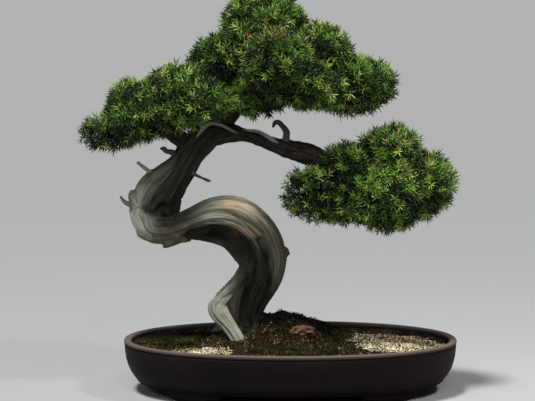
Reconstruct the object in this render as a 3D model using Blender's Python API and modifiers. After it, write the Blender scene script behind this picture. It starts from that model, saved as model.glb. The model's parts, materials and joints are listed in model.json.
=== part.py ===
"""A needle juniper bonsai with a bent, partly dead trunk, in a shallow oval clay pot.

Metres, +Z up. The origin is on the table, at the middle of the whole object's box. The front of the
tree faces -Y. The pot stands on four cloud feet, and its centre is POT_CENTRE_X to the right of the origin.
"""

import math

import bmesh
import bpy
from mathutils import Matrix, Vector, noise

# Driving dimensions of the pot
POT_LENGTH = 0.552
POT_DEPTH = 0.410
POT_HEIGHT = 0.085
POT_CENTRE_X = 0.038
FOOT_HEIGHT = 0.014
FLOOR_THICKNESS = 0.010
WALL_THICKNESS = 0.0115
LIP_HEIGHT = 0.006
LIP_GROOVE = 0.0016
BASE_INSET = 0.026
FRONT_LEAN = 1.4  # the long sides lean in this much more than the ends
OVAL_POWER = 2.15  # 2 is an ellipse, more is fuller
OVAL_SIDES = 48

# Feet, drainage and planting hardware
FOOT_ANGLES = (49, 131, 229, 311)  # degrees round the oval
FOOT_HALF_SPAN = 15  # degrees
FOOT_RADIAL = 0.030
DRAIN_OFFSETS = (-0.110, 0.110)
DRAIN_RADIUS = 0.011
DRAIN_SIDES = 16
WIRE_HOLE_OFFSETS = (-0.050, 0.050)
WIRE_HOLE_RADIUS = 0.0030
SCREEN_SIDE = 0.040
SCREEN_THICKNESS = 0.0015
SCREEN_HOLES = 3  # along each side
CLIP_WIRE_RADIUS = 0.0008
ANCHOR_WIRE_RADIUS = 0.0010

# Soil
DRAINAGE_DEPTH = 0.010
SOIL_EDGE_LEVEL = 0.0765
GAP = 0.0004  # between touching pieces
COVER_ROOT = 0.004  # how far a patch starts below the soil before the soil is cut from it

# Wood
WOOD_VOXEL = 0.006
WOOD_CLEARANCE = 0.0015
WOOD_KEEP = 0.15  # share of the grown mesh's faces
TRUNK_STEPS = 5  # points between two of a limb's own points
BRANCH_STEPS = 2
STUB_STEPS = 3
WIRE_STEPS = 3

# Foliage
CLUMP_GAP = 0.0015
CLUMP_ROUGHNESS = 0.16
CLUMP_BUMP = 0.045  # metres across one bump

POT_FLOOR_TOP = FOOT_HEIGHT + FLOOR_THICKNESS
SOIL_BOTTOM = POT_FLOOR_TOP + DRAINAGE_DEPTH


# ---------------------------------------------------------------- scene, materials and mesh helpers


def clear_scene():
    for obj in list(bpy.data.objects):
        bpy.data.objects.remove(obj, do_unlink=True)


def new_collection(name):
    collection = bpy.data.collections.new(name)
    bpy.context.scene.collection.children.link(collection)
    return collection


def material(name, colour, roughness, metallic=0.0):
    made = bpy.data.materials.new(name)
    made.use_nodes = True
    shader = made.node_tree.nodes["Principled BSDF"]
    shader.inputs["Base Color"].default_value = (*colour, 1.0)
    shader.inputs["Roughness"].default_value = roughness
    shader.inputs["Metallic"].default_value = metallic
    made.diffuse_color = (*colour, 1.0)
    return made


def piece(name, mesh, collection, finish, smooth_angle=40):
    mesh.name = name
    obj = bpy.data.objects.new(name, mesh)
    collection.objects.link(obj)
    mesh.materials.clear()
    mesh.materials.append(finish)
    mesh.shade_smooth()
    mesh.set_sharp_from_angle(angle=math.radians(smooth_angle))
    return obj


def cutter(name, mesh, collection):
    obj = bpy.data.objects.new(name, mesh)
    collection.objects.link(obj)
    obj.hide_render = True
    obj.display_type = "WIRE"
    return obj


def mesh_of(bm, name="mesh"):
    bmesh.ops.recalc_face_normals(bm, faces=bm.faces)
    mesh = bpy.data.meshes.new(name)
    bm.to_mesh(mesh)
    bm.free()
    return mesh


def evaluated_mesh(obj):
    """The object's mesh with its modifiers applied; the object itself is removed."""
    bpy.context.view_layer.update()
    graph = bpy.context.evaluated_depsgraph_get()
    mesh = bpy.data.meshes.new_from_object(obj.evaluated_get(graph))
    mesh.transform(obj.matrix_world)
    bpy.data.objects.remove(obj, do_unlink=True)
    return mesh


def loft(rings, triangles=False):
    """A solid through rings of points, each with the same count, capped at both ends."""
    bm = bmesh.new()
    made = [[bm.verts.new(point) for point in ring] for ring in rings]
    for lower, upper in zip(made, made[1:]):
        for i in range(len(lower)):
            j = (i + 1) % len(lower)
            bm.faces.new((lower[i], lower[j], upper[j], upper[i]))
    bm.faces.new(reversed(made[0]))
    bm.faces.new(made[-1])
    if triangles:
        bmesh.ops.triangulate(bm, faces=bm.faces)
    return mesh_of(bm)


def boolean(obj, other, operation="DIFFERENCE"):
    modifier = obj.modifiers.new(operation.title(), "BOOLEAN")
    modifier.operation = operation
    modifier.solver = "EXACT"
    modifier.object = other


def largest_body(mesh):
    """The mesh without the small slivers that a cut can leave beside the main body."""
    bm = bmesh.new()
    bm.from_mesh(mesh)
    bmesh.ops.remove_doubles(bm, verts=bm.verts, dist=1e-5)
    bmesh.ops.dissolve_degenerate(bm, edges=bm.edges, dist=1e-5)
    unseen = set(bm.verts)
    bodies = []
    while unseen:
        body, front = set(), [unseen.pop()]
        while front:
            vert = front.pop()
            body.add(vert)
            for edge in vert.link_edges:
                other = edge.other_vert(vert)
                if other in unseen:
                    unseen.discard(other)
                    front.append(other)
        bodies.append(body)
    keep = max(bodies, key=len)
    bmesh.ops.delete(bm, geom=[v for v in bm.verts if v not in keep], context="VERTS")
    bm.to_mesh(mesh)
    bm.free()
    return mesh


def smooth_route(points, steps):
    """Points along a smooth curve through the given ones; a point may carry its radius as a fourth number."""
    ends = [points[0], *points, points[-1]]
    route = []
    for a, b, c, d in zip(ends, ends[1:], ends[2:], ends[3:]):
        for step in range(steps):
            t = step / steps
            route.append(
                tuple(
                    0.5 * (2 * q + (r - p) * t + (2 * p - 5 * q + 4 * r - s) * t**2 + (3 * q - p - 3 * r + s) * t**3)
                    for p, q, r, s in zip(a, b, c, d)
                )
            )
    route.append(tuple(points[-1]))
    return route


def tube_mesh(points, extra=0.0, sides_level=2):
    """A capped tube along points of (x, y, z, radius)."""
    curve = bpy.data.curves.new("tube", "CURVE")
    curve.dimensions = "3D"
    curve.bevel_depth = 1.0
    curve.bevel_resolution = sides_level
    curve.use_fill_caps = True
    spline = curve.splines.new("POLY")
    spline.points.add(len(points) - 1)
    for target, (x, y, z, radius) in zip(spline.points, points):
        target.co = (x, y, z, 1.0)
        target.radius = radius + extra
    holder = bpy.data.objects.new("tube", curve)
    bpy.context.scene.collection.objects.link(holder)
    mesh = evaluated_mesh(holder)
    bpy.data.curves.remove(curve)
    bm = bmesh.new()
    bm.from_mesh(mesh)
    bmesh.ops.remove_doubles(bm, verts=bm.verts, dist=1e-6)
    bm.to_mesh(mesh)
    bm.free()
    return mesh


def wire_mesh(points, radius, extra=0.0):
    return tube_mesh([(*point, radius) for point in points], extra)


def inflated(mesh, extra=WOOD_CLEARANCE):
    """A copy of a closed mesh with every point pushed out along its normal."""
    bm = bmesh.new()
    bm.from_mesh(mesh)
    bm.normal_update()
    for vert, outwards in [(vert, vert.normal.copy()) for vert in bm.verts]:
        vert.co += outwards * extra
    return mesh_of(bm)


def forked_wood(limbs, extra=0.0):
    """A branch and its forks as one solid."""
    holder, *forks = [
        bpy.data.objects.new("limb", tube_mesh(smooth_route(limb, BRANCH_STEPS), extra)) for limb in limbs
    ]
    bpy.context.scene.collection.objects.link(holder)
    for fork in forks:
        bpy.context.scene.collection.objects.link(fork)
        boolean(holder, fork, "UNION")
    mesh = evaluated_mesh(holder)
    for fork in forks:
        bpy.data.objects.remove(fork, do_unlink=True)
    return mesh


def grown_wood(limbs):
    """One solid of several thick limbs, grown together and thinned to the share WOOD_KEEP of its faces."""
    bm = bmesh.new()
    for limb in limbs:
        bm.from_mesh(tube_mesh(smooth_route(limb, TRUNK_STEPS)))
    holder = bpy.data.objects.new("wood", mesh_of(bm))
    bpy.context.scene.collection.objects.link(holder)
    remesh = holder.modifiers.new("Grow together", "REMESH")
    remesh.mode = "VOXEL"
    remesh.voxel_size = WOOD_VOXEL
    relax = holder.modifiers.new("Relax", "SMOOTH")
    relax.factor = 0.5
    relax.iterations = 2
    thin = holder.modifiers.new("Thin", "DECIMATE")
    thin.ratio = WOOD_KEEP
    return largest_body(evaluated_mesh(holder))


# ---------------------------------------------------------------- pot


def oval(half_x, half_y, z, sides=OVAL_SIDES, start=0.0, end=2 * math.pi):
    """Points of a full oval round the pot's centre, or of the stretch of it between two angles."""
    whole = end - start >= 2 * math.pi
    ring = []
    for i in range(sides):
        angle = start + (end - start) * i / (sides if whole else sides - 1)
        cos, sin = math.cos(angle), math.sin(angle)
        reach = (abs(cos) ** OVAL_POWER + abs(sin) ** OVAL_POWER) ** (-1 / OVAL_POWER)
        ring.append((POT_CENTRE_X + half_x * reach * cos, half_y * reach * sin, z))
    return ring


def wall_lean(z):
    """How far the pot's outer wall has come in from the rim at height z."""
    down = max(0.0, (POT_HEIGHT - LIP_HEIGHT - z) / (POT_HEIGHT - LIP_HEIGHT - FOOT_HEIGHT))
    return BASE_INSET * (0.16 * down + 0.84 * down**3)


def pot_ring(z, inset=0.0, lean=None):
    lean = wall_lean(z) if lean is None else lean
    return oval(POT_LENGTH / 2 - lean - inset, POT_DEPTH / 2 - FRONT_LEAN * lean - inset, z)


def pot_bowl():
    lip_bottom = POT_HEIGHT - LIP_HEIGHT
    rings = [pot_ring(FOOT_HEIGHT, 0.010), pot_ring(FOOT_HEIGHT)]
    wall_heights = [FOOT_HEIGHT + (lip_bottom - FOOT_HEIGHT) * share for share in (0.10, 0.25, 0.50, 0.80)]
    rings += [pot_ring(z) for z in wall_heights]
    rings += [
        pot_ring(lip_bottom - 0.0012, LIP_GROOVE),
        pot_ring(lip_bottom, 0.0004),
        pot_ring(POT_HEIGHT - 0.0014, -0.0004),
        pot_ring(POT_HEIGHT, 0.0012),
        pot_ring(POT_HEIGHT, WALL_THICKNESS - 0.0015),
        pot_ring(POT_HEIGHT - 0.002, WALL_THICKNESS),
    ]
    inner = [z for z in reversed(wall_heights) if z > POT_FLOOR_TOP + 0.010]
    rings += [pot_ring(z, WALL_THICKNESS) for z in inner]
    rings += [
        pot_ring(POT_FLOOR_TOP + 0.006, WALL_THICKNESS + 0.003),
        pot_ring(POT_FLOOR_TOP, WALL_THICKNESS + 0.012),
    ]
    return loft(rings)


def foot_mesh(middle):
    """A cloud foot: a stretch of the base ring whose lower edge swings down in two steps to a flat pad."""
    sections = 11
    rings = []
    lean = wall_lean(FOOT_HEIGHT)
    for i in range(sections):
        u = 2 * i / (sections - 1) - 1
        angle = math.radians(middle + FOOT_HALF_SPAN * u)
        rise = 0.0
        if abs(u) > 0.55:
            rise = FOOT_HEIGHT * (0.30 + 0.45 * (abs(u) - 0.55) / 0.45)
        low = min(rise, FOOT_HEIGHT * 0.8)
        outside, inside = [], []
        for z in (low, FOOT_HEIGHT * 0.9, FOOT_HEIGHT + 0.003):
            splay = 0.0025 * (1 - z / FOOT_HEIGHT)
            for side, target in ((0.003 + splay, outside), (FOOT_RADIAL - splay, inside)):
                half_x = POT_LENGTH / 2 - lean - side
                half_y = POT_DEPTH / 2 - FRONT_LEAN * lean - side
                target.append(oval(half_x, half_y, z, 2, angle, angle + 0.01)[0])
        rings.append(outside + inside[::-1])
    return loft(rings)


def make_pot(parts, tools, finish):
    pot = piece("pot", pot_bowl(), parts, finish)
    for angle in FOOT_ANGLES:
        boolean(pot, cutter(f"pot_foot_{angle}", foot_mesh(angle), tools), "UNION")
    holes = [(x, DRAIN_RADIUS) for x in DRAIN_OFFSETS] + [(x, WIRE_HOLE_RADIUS) for x in WIRE_HOLE_OFFSETS]
    for x, radius in holes:
        bm = bmesh.new()
        bmesh.ops.create_cone(bm, cap_ends=True, segments=DRAIN_SIDES, radius1=radius, radius2=radius, depth=0.05)
        bmesh.ops.translate(bm, verts=bm.verts, vec=(POT_CENTRE_X + x, 0, POT_FLOOR_TOP))
        boolean(pot, cutter(f"pot_hole_{x:+.3f}", mesh_of(bm), tools))
    return pot


def box_mesh(centre, size):
    bm = bmesh.new()
    bmesh.ops.create_cube(bm, size=1.0)
    bmesh.ops.scale(bm, verts=bm.verts, vec=size)
    bmesh.ops.translate(bm, verts=bm.verts, vec=centre)
    return mesh_of(bm)


def clip_route(x):
    """A staple that lies on the screen, drops through it and the hole, and is bent out under the pot."""
    top = POT_FLOOR_TOP + SCREEN_THICKNESS + 0.0014
    under = FOOT_HEIGHT - 0.0024
    reach = DRAIN_RADIUS - 0.0014
    half = [(0.0, top), (reach - 0.0010, top), (reach, top - 0.0010), (reach, under + 0.0010)]
    half += [(reach + 0.0015, under), (reach + 0.013, under)]
    left = [(x - across, 0.0, z) for across, z in reversed(half[1:])]
    return left + [(x + across, 0.0, z) for across, z in half]


def anchor_route():
    """The tie wire: up through one wire hole, over the roots behind the trunk, and down through the other."""
    left = POT_CENTRE_X + WIRE_HOLE_OFFSETS[0]
    right = POT_CENTRE_X + WIRE_HOLE_OFFSETS[1]
    under = FOOT_HEIGHT - 0.0028
    return [
        (left + 0.016, 0.0, under),
        (left + 0.002, 0.0, under),
        (left, 0.0, under + 0.002),
        (left, 0.0, POT_FLOOR_TOP),
        (left, 0.0, SOIL_BOTTOM),
        (left - 0.052, 0.052, 0.056),
        (left - 0.030, 0.092, 0.067),
        (left + 0.040, 0.096, 0.069),
        (right, 0.0, SOIL_BOTTOM),
        (right, 0.0, POT_FLOOR_TOP),
        (right, 0.0, under + 0.002),
        (right - 0.002, 0.0, under),
        (right - 0.016, 0.0, under),
    ]


def make_hardware(parts, tools, plastic, wire):
    """The drainage screens, their clips and the tie wire, with a cutter for the room that each one needs."""
    rooms = []
    for side, offset in zip(("left", "right"), DRAIN_OFFSETS):
        x = POT_CENTRE_X + offset
        middle = POT_FLOOR_TOP + GAP + SCREEN_THICKNESS / 2
        screen = piece(
            f"drainage_screen_{side}",
            box_mesh((x, 0, middle), (SCREEN_SIDE, SCREEN_SIDE, SCREEN_THICKNESS)),
            parts,
            plastic,
        )
        pitch = SCREEN_SIDE / SCREEN_HOLES
        grid = bmesh.new()
        for i in range(SCREEN_HOLES):
            for j in range(SCREEN_HOLES):
                at = (x + (i - 1) * pitch, (j - 1) * pitch, middle)
                grid.from_mesh(box_mesh(at, (pitch * 0.72, pitch * 0.72, 0.01)))
        boolean(screen, cutter(f"screen_openings_{side}", mesh_of(grid), tools))
        clip = clip_route(x)
        piece(f"screen_clip_{side}", wire_mesh(clip, CLIP_WIRE_RADIUS), parts, wire)
        room = (SCREEN_SIDE + 0.002, SCREEN_SIDE + 0.002, 0.012)
        rooms.append(cutter(f"screen_room_{side}", box_mesh((x, 0, POT_FLOOR_TOP), room), tools))
    route = smooth_route(anchor_route(), WIRE_STEPS)
    piece("anchor_wire", wire_mesh(route, ANCHOR_WIRE_RADIUS), parts, wire)
    rooms.append(cutter("anchor_room", wire_mesh(route, ANCHOR_WIRE_RADIUS, GAP * 1.5), tools))
    return rooms


# ---------------------------------------------------------------- soil and what lies on it


def bell(x, y, centre_x, centre_y, spread_x, spread_y):
    return math.exp(-(((x - centre_x) / spread_x) ** 2) - ((y - centre_y) / spread_y) ** 2)


def soil_height(x, y):
    """The soil is mounded round the trunk, highest behind it on the right, and falls to the pot's wall."""
    mound = 0.040 * bell(x, y, 0.030, 0.055, 0.075, 0.060)
    shoulder = 0.011 * bell(x, y, -0.030, 0.005, 0.120, 0.100)
    return SOIL_EDGE_LEVEL + mound + shoulder


def soil_mesh():
    rings = [
        pot_ring(SOIL_BOTTOM + GAP, WALL_THICKNESS + 0.006),
        pot_ring(SOIL_BOTTOM + 0.010, WALL_THICKNESS + GAP * 3),
        pot_ring(SOIL_EDGE_LEVEL - 0.010, WALL_THICKNESS + GAP * 3),
    ]
    edge = pot_ring(SOIL_EDGE_LEVEL, WALL_THICKNESS + GAP * 3)
    for share in (1.0, 0.88, 0.75, 0.62, 0.49, 0.36, 0.23, 0.10):
        ring = []
        for x, y, _ in edge:
            at_x = POT_CENTRE_X * share + (x - POT_CENTRE_X) * share + 0.010 * (1 - share)
            at_y = y * share + 0.045 * (1 - share)
            ring.append((at_x, at_y, soil_height(at_x, at_y)))
        rings.append(ring)
    return loft(rings, triangles=True)


def drainage_mesh():
    rings = [
        pot_ring(POT_FLOOR_TOP + GAP, WALL_THICKNESS + 0.0135),
        pot_ring(POT_FLOOR_TOP + 0.006, WALL_THICKNESS + 0.0042),
        pot_ring(SOIL_BOTTOM - 0.001, WALL_THICKNESS + 0.0052),
        pot_ring(SOIL_BOTTOM - GAP, WALL_THICKNESS + 0.008),
    ]
    return loft(rings)


def cover_mesh(x, y, half_x, half_y, thickness, turn=0.0, sides=16):
    """A low patch that follows the soil under it: moss, grit or a flake, thin at its uneven edge."""
    turn = math.radians(turn)

    def place(share, angle, lift):
        ragged = 1 + 0.12 * noise.noise(Vector((math.cos(angle) * 1.7, math.sin(angle) * 1.7, x * 40)))
        across = half_x * share * ragged * math.cos(angle)
        along = half_y * share * ragged * math.sin(angle)
        at_x = x + across * math.cos(turn) - along * math.sin(turn)
        at_y = y + across * math.sin(turn) + along * math.cos(turn)
        return (at_x, at_y, soil_height(at_x, at_y) + lift)

    angles = [2 * math.pi * i / sides for i in range(sides)]
    low = -COVER_ROOT
    edge, shoulder, top = 0.35 * thickness, 0.8 * thickness, thickness
    profile = ((0.5, low), (1.0, low), (1.0, edge), (0.85, shoulder), (0.4, top))
    return loft([[place(share, angle, lift) for angle in angles] for share, lift in profile])


def make_covers(parts, tools, trunk_room, finishes):
    lifted_soil = soil_mesh()
    lifted_soil.transform(Matrix.Translation((0, 0, GAP)))
    soil_room = cutter("soil_room", lifted_soil, tools)
    for name, x, y, half_x, half_y, thickness, turn, finish in COVERS:
        holder = bpy.data.objects.new("cover", cover_mesh(x, y, half_x, half_y, thickness, turn))
        bpy.context.scene.collection.objects.link(holder)
        boolean(holder, soil_room)
        if boxes_meet(holder, trunk_room):
            boolean(holder, trunk_room)
        piece(name, largest_body(evaluated_mesh(holder)), parts, finishes[finish])


COVERS = (
    # name, x, y, half_x, half_y, thickness, turn, finish
    ("grit_right", 0.208, -0.012, 0.064, 0.096, 0.0030, 14, "grit"),
    ("grit_front_left", -0.098, -0.110, 0.052, 0.026, 0.0025, -14, "grit"),
    ("moss_left", -0.150, -0.020, 0.040, 0.040, 0.0045, 20, "moss"),
    ("moss_back_left", -0.085, 0.118, 0.056, 0.026, 0.0050, 10, "moss"),
    ("moss_front", 0.045, -0.112, 0.062, 0.038, 0.0045, -4, "moss"),
    ("moss_right", 0.113, 0.030, 0.026, 0.052, 0.0050, -8, "moss"),
    ("moss_mound", 0.036, 0.118, 0.050, 0.026, 0.0060, -6, "moss"),
    ("root_lump", -0.138, 0.062, 0.014, 0.011, 0.0120, 0, "bark"),
    ("bark_flake", 0.058, -0.012, 0.021, 0.015, 0.0080, -20, "bark"),
)


# ---------------------------------------------------------------- wood

# Limbs are lists of (x, y, z, radius), from the root end outwards.
TRUNK_LINE = [
    (-0.040, 0.036, 0.058, 0.038),
    (-0.040, 0.034, 0.092, 0.032),
    (-0.036, 0.032, 0.122, 0.027),
    (-0.023, 0.029, 0.153, 0.028),
    (-0.009, 0.024, 0.184, 0.034),
    (-0.007, 0.014, 0.219, 0.041),
    (-0.022, 0.004, 0.256, 0.043),
    (-0.052, -0.006, 0.284, 0.042),
    (-0.088, -0.014, 0.290, 0.035),
    (-0.123, -0.018, 0.280, 0.027),
    (-0.158, -0.016, 0.267, 0.024),
    (-0.189, -0.008, 0.268, 0.025),
    (-0.201, 0.003, 0.294, 0.031),
    (-0.187, 0.012, 0.319, 0.039),
    (-0.167, 0.016, 0.344, 0.036),
    (-0.144, 0.016, 0.369, 0.028),
    (-0.129, 0.014, 0.393, 0.026),
    (-0.101, 0.012, 0.424, 0.027),
    (-0.071, 0.014, 0.452, 0.023),
    (-0.043, 0.018, 0.488, 0.018),
    (-0.018, 0.020, 0.540, 0.012),
    (-0.006, 0.014, 0.592, 0.006),
]
DEAD_ROOT_LINE = [
    (-0.050, 0.022, 0.178, 0.014),
    (-0.072, 0.002, 0.152, 0.013),
    (-0.080, -0.012, 0.136, 0.016),
    (-0.068, -0.024, 0.114, 0.013),
    (-0.050, -0.034, 0.090, 0.011),
    (-0.045, -0.037, 0.080, 0.009),
]
SURFACE_ROOTS = [
    [(-0.020, 0.036, 0.110, 0.028), (0.012, 0.044, 0.108, 0.018), (0.046, 0.056, 0.098, 0.009)],
    [(-0.050, 0.044, 0.104, 0.022), (-0.082, 0.052, 0.088, 0.012), (-0.104, 0.058, 0.072, 0.007)],
    [(-0.026, 0.024, 0.104, 0.022), (-0.012, 0.002, 0.088, 0.012), (0.002, -0.018, 0.072, 0.007)],
]
RIGHT_BRANCH = [
    [
        (-0.096, 0.006, 0.424, 0.021),
        (-0.058, 0.000, 0.4255, 0.0150),
        (-0.036, -0.003, 0.4220, 0.0110),
        (-0.014, -0.004, 0.4155, 0.0105),
        (0.012, -0.006, 0.4070, 0.0125),
        (0.036, -0.005, 0.4000, 0.0155),
        (0.060, -0.004, 0.3935, 0.0175),
        (0.083, -0.003, 0.3855, 0.0165),
        (0.106, -0.002, 0.3770, 0.0135),
        (0.150, 0.000, 0.366, 0.010),
        (0.200, 0.002, 0.352, 0.008),
        (0.246, 0.002, 0.342, 0.005),
    ],
    [(0.110, -0.002, 0.380, 0.009), (0.126, -0.010, 0.348, 0.007), (0.098, -0.014, 0.318, 0.005)],
    [(0.160, 0.000, 0.364, 0.008), (0.186, -0.020, 0.340, 0.006), (0.196, -0.034, 0.316, 0.004)],
    [(0.150, 0.000, 0.366, 0.008), (0.178, 0.022, 0.348, 0.006), (0.196, 0.044, 0.334, 0.004)],
    [(0.160, 0.000, 0.364, 0.008), (0.184, 0.004, 0.378, 0.006), (0.202, 0.002, 0.394, 0.004)],
]
LEFT_BRANCH = [
    [
        (-0.130, 0.008, 0.404, 0.016),
        (-0.156, 0.000, 0.424, 0.013),
        (-0.184, -0.008, 0.438, 0.010),
        (-0.218, -0.010, 0.440, 0.008),
        (-0.252, -0.006, 0.430, 0.006),
        (-0.280, -0.002, 0.422, 0.004),
    ],
    [(-0.160, 0.000, 0.427, 0.009), (-0.160, -0.018, 0.456, 0.006), (-0.162, -0.030, 0.480, 0.004)],
    [(-0.178, -0.006, 0.436, 0.008), (-0.184, 0.022, 0.446, 0.006), (-0.196, 0.048, 0.452, 0.004)],
]
CROWN_BRANCHES = {
    "crown_branch_left": [
        (-0.050, 0.016, 0.476, 0.012),
        (-0.070, 0.004, 0.504, 0.009),
        (-0.088, -0.006, 0.534, 0.005),
    ],
    "crown_branch_right": [
        (-0.030, 0.018, 0.510, 0.012),
        (0.020, 0.012, 0.520, 0.010),
        (0.070, 0.004, 0.520, 0.008),
        (0.120, 0.000, 0.512, 0.006),
        (0.156, 0.000, 0.510, 0.004),
    ],
    "crown_branch_front": [
        (-0.026, 0.014, 0.524, 0.010),
        (-0.006, -0.024, 0.524, 0.008),
        (0.014, -0.066, 0.524, 0.004),
    ],
    "crown_branch_back": [
        (-0.030, 0.026, 0.516, 0.010),
        (-0.012, 0.056, 0.522, 0.008),
        (0.008, 0.086, 0.530, 0.004),
    ],
}
DEAD_STUBS = {
    "jin_elbow": [(-0.214, -0.004, 0.304, 0.006), (-0.233, -0.008, 0.311, 0.005), (-0.243, -0.010, 0.321, 0.002)],
    "jin_upper_left": [(-0.176, 0.004, 0.352, 0.006), (-0.200, 0.000, 0.366, 0.005), (-0.215, -0.002, 0.377, 0.002)],
    "jin_left": [(-0.140, 0.008, 0.388, 0.006), (-0.164, 0.004, 0.396, 0.005), (-0.177, 0.002, 0.398, 0.003)],
    "jin_right": [(-0.132, 0.012, 0.362, 0.005), (-0.110, 0.006, 0.352, 0.004), (-0.096, 0.004, 0.347, 0.002)],
    "jin_hook": [
        (0.028, -0.006, 0.404, 0.008),
        (0.032, -0.008, 0.424, 0.006),
        (0.026, -0.008, 0.438, 0.005),
        (0.015, -0.008, 0.445, 0.004),
        (0.009, -0.008, 0.437, 0.002),
    ],
}


def make_wood(parts, tools, live, dead):
    """The trunk with its dead root, the branches that leave it, and the dead stubs; returns their cutters."""
    trunk_limbs = [TRUNK_LINE, DEAD_ROOT_LINE, *SURFACE_ROOTS]
    trunk = piece("trunk", grown_wood(trunk_limbs), parts, live, 60)
    rooms = {"trunk": cutter("trunk_room", inflated(trunk.data), tools)}
    branches = {"right_branch": RIGHT_BRANCH, "left_branch": LEFT_BRANCH}
    branches |= {name: [line] for name, line in CROWN_BRANCHES.items()}
    for name, limbs in branches.items():
        holder = bpy.data.objects.new("branch", forked_wood(limbs))
        bpy.context.scene.collection.objects.link(holder)
        for room in rooms.values():
            if boxes_meet(holder, room):
                boolean(holder, room)
        piece(name, largest_body(evaluated_mesh(holder)), parts, live, 60)
        rooms[name] = cutter(f"{name}_room", forked_wood(limbs, WOOD_CLEARANCE), tools)
    for name, line in DEAD_STUBS.items():
        stub = piece(name, tube_mesh(smooth_route(line, STUB_STEPS)), parts, dead, 60)
        boolean(stub, rooms["right_branch" if name == "jin_hook" else "trunk"])
    return rooms


# ---------------------------------------------------------------- foliage

# name, centre, half sizes. Each clump is the foliage of one branchlet.
CLUMPS = (
    ("foliage_left_tip", (-0.262, -0.004, 0.425), (0.058, 0.056, 0.042)),
    ("foliage_left_outer", (-0.209, -0.036, 0.462), (0.065, 0.066, 0.058)),
    ("foliage_left_outer_back", (-0.200, 0.056, 0.458), (0.066, 0.060, 0.052)),
    ("foliage_left_inner", (-0.150, -0.042, 0.484), (0.068, 0.066, 0.060)),
    ("foliage_left_inner_back", (-0.146, 0.058, 0.480), (0.068, 0.062, 0.054)),
    ("foliage_left_front", (-0.106, -0.060, 0.480), (0.054, 0.054, 0.043)),
    ("foliage_crown_apex", (-0.003, 0.000, 0.593), (0.083, 0.086, 0.068)),
    ("foliage_crown_left", (-0.078, -0.012, 0.535), (0.068, 0.086, 0.063)),
    ("foliage_crown_low_left", (-0.016, -0.046, 0.486), (0.052, 0.050, 0.044)),
    ("foliage_crown_front", (0.020, -0.082, 0.530), (0.070, 0.062, 0.066)),
    ("foliage_crown_back", (-0.004, 0.088, 0.532), (0.090, 0.068, 0.074)),
    ("foliage_crown_upper_right", (0.082, -0.010, 0.554), (0.068, 0.084, 0.058)),
    ("foliage_crown_right", (0.143, 0.000, 0.504), (0.076, 0.090, 0.055)),
    ("foliage_crown_low_right", (0.072, -0.060, 0.502), (0.066, 0.062, 0.044)),
    ("foliage_crown_back_right", (0.084, 0.080, 0.518), (0.080, 0.062, 0.060)),
    ("foliage_right_top", (0.204, 0.000, 0.388), (0.066, 0.076, 0.061)),
    ("foliage_right_outer", (0.253, 0.000, 0.343), (0.065, 0.084, 0.063)),
    ("foliage_right_front", (0.196, -0.052, 0.320), (0.072, 0.064, 0.064)),
    ("foliage_right_back", (0.194, 0.062, 0.326), (0.074, 0.064, 0.060)),
    ("foliage_right_middle", (0.132, -0.014, 0.322), (0.060, 0.076, 0.054)),
    ("foliage_right_low", (0.078, -0.014, 0.317), (0.066, 0.068, 0.052)),
    ("foliage_right_upper", (0.134, -0.008, 0.378), (0.052, 0.064, 0.041)),
)


def clump_mesh(name, centre, half, neighbours):
    """A lumpy ellipsoid, held back where it meets each neighbour by a plane between their centres."""
    bm = bmesh.new()
    bmesh.ops.create_icosphere(bm, subdivisions=3, radius=1.0)
    middle = Vector(centre)
    for vert in bm.verts:
        direction = vert.co.normalized()
        on_surface = Vector(a * b for a, b in zip(direction, half))
        bumps = noise.noise((middle + on_surface) / CLUMP_BUMP)
        reach = on_surface.length * (1 - CLUMP_ROUGHNESS * (0.5 - 0.5 * bumps))
        direction = on_surface.normalized()
        for other_centre, other_half in neighbours:
            apart = Vector(other_centre) - middle
            normal = apart.normalized()
            mine = Vector(a * b for a, b in zip(normal, half)).length
            theirs = Vector(a * b for a, b in zip(normal, other_half)).length
            limit = apart.length * mine / (mine + theirs) - CLUMP_GAP / 2
            facing = direction.dot(normal)
            if facing > 1e-4:
                reach = min(reach, limit / facing)
        vert.co = middle + direction * reach
    mesh = mesh_of(bm)
    mesh.name = name
    return mesh


def make_foliage(parts, rooms, finish):
    for name, centre, half in CLUMPS:
        neighbours = [(c, h) for other, c, h in CLUMPS if other != name]
        holder = bpy.data.objects.new("clump", clump_mesh(name, centre, half, neighbours))
        bpy.context.scene.collection.objects.link(holder)
        for room in rooms.values():
            if boxes_meet(holder, room):
                boolean(holder, room)
        piece(name, largest_body(evaluated_mesh(holder)), parts, finish, 80)


def boxes_meet(first, second):
    first_corners = [Vector(corner) for corner in first.bound_box]
    second_corners = [Vector(corner) for corner in second.bound_box]
    return all(
        min(c[axis] for c in first_corners) < max(c[axis] for c in second_corners)
        and min(c[axis] for c in second_corners) < max(c[axis] for c in first_corners)
        for axis in range(3)
    )


# ---------------------------------------------------------------- the whole


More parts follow.
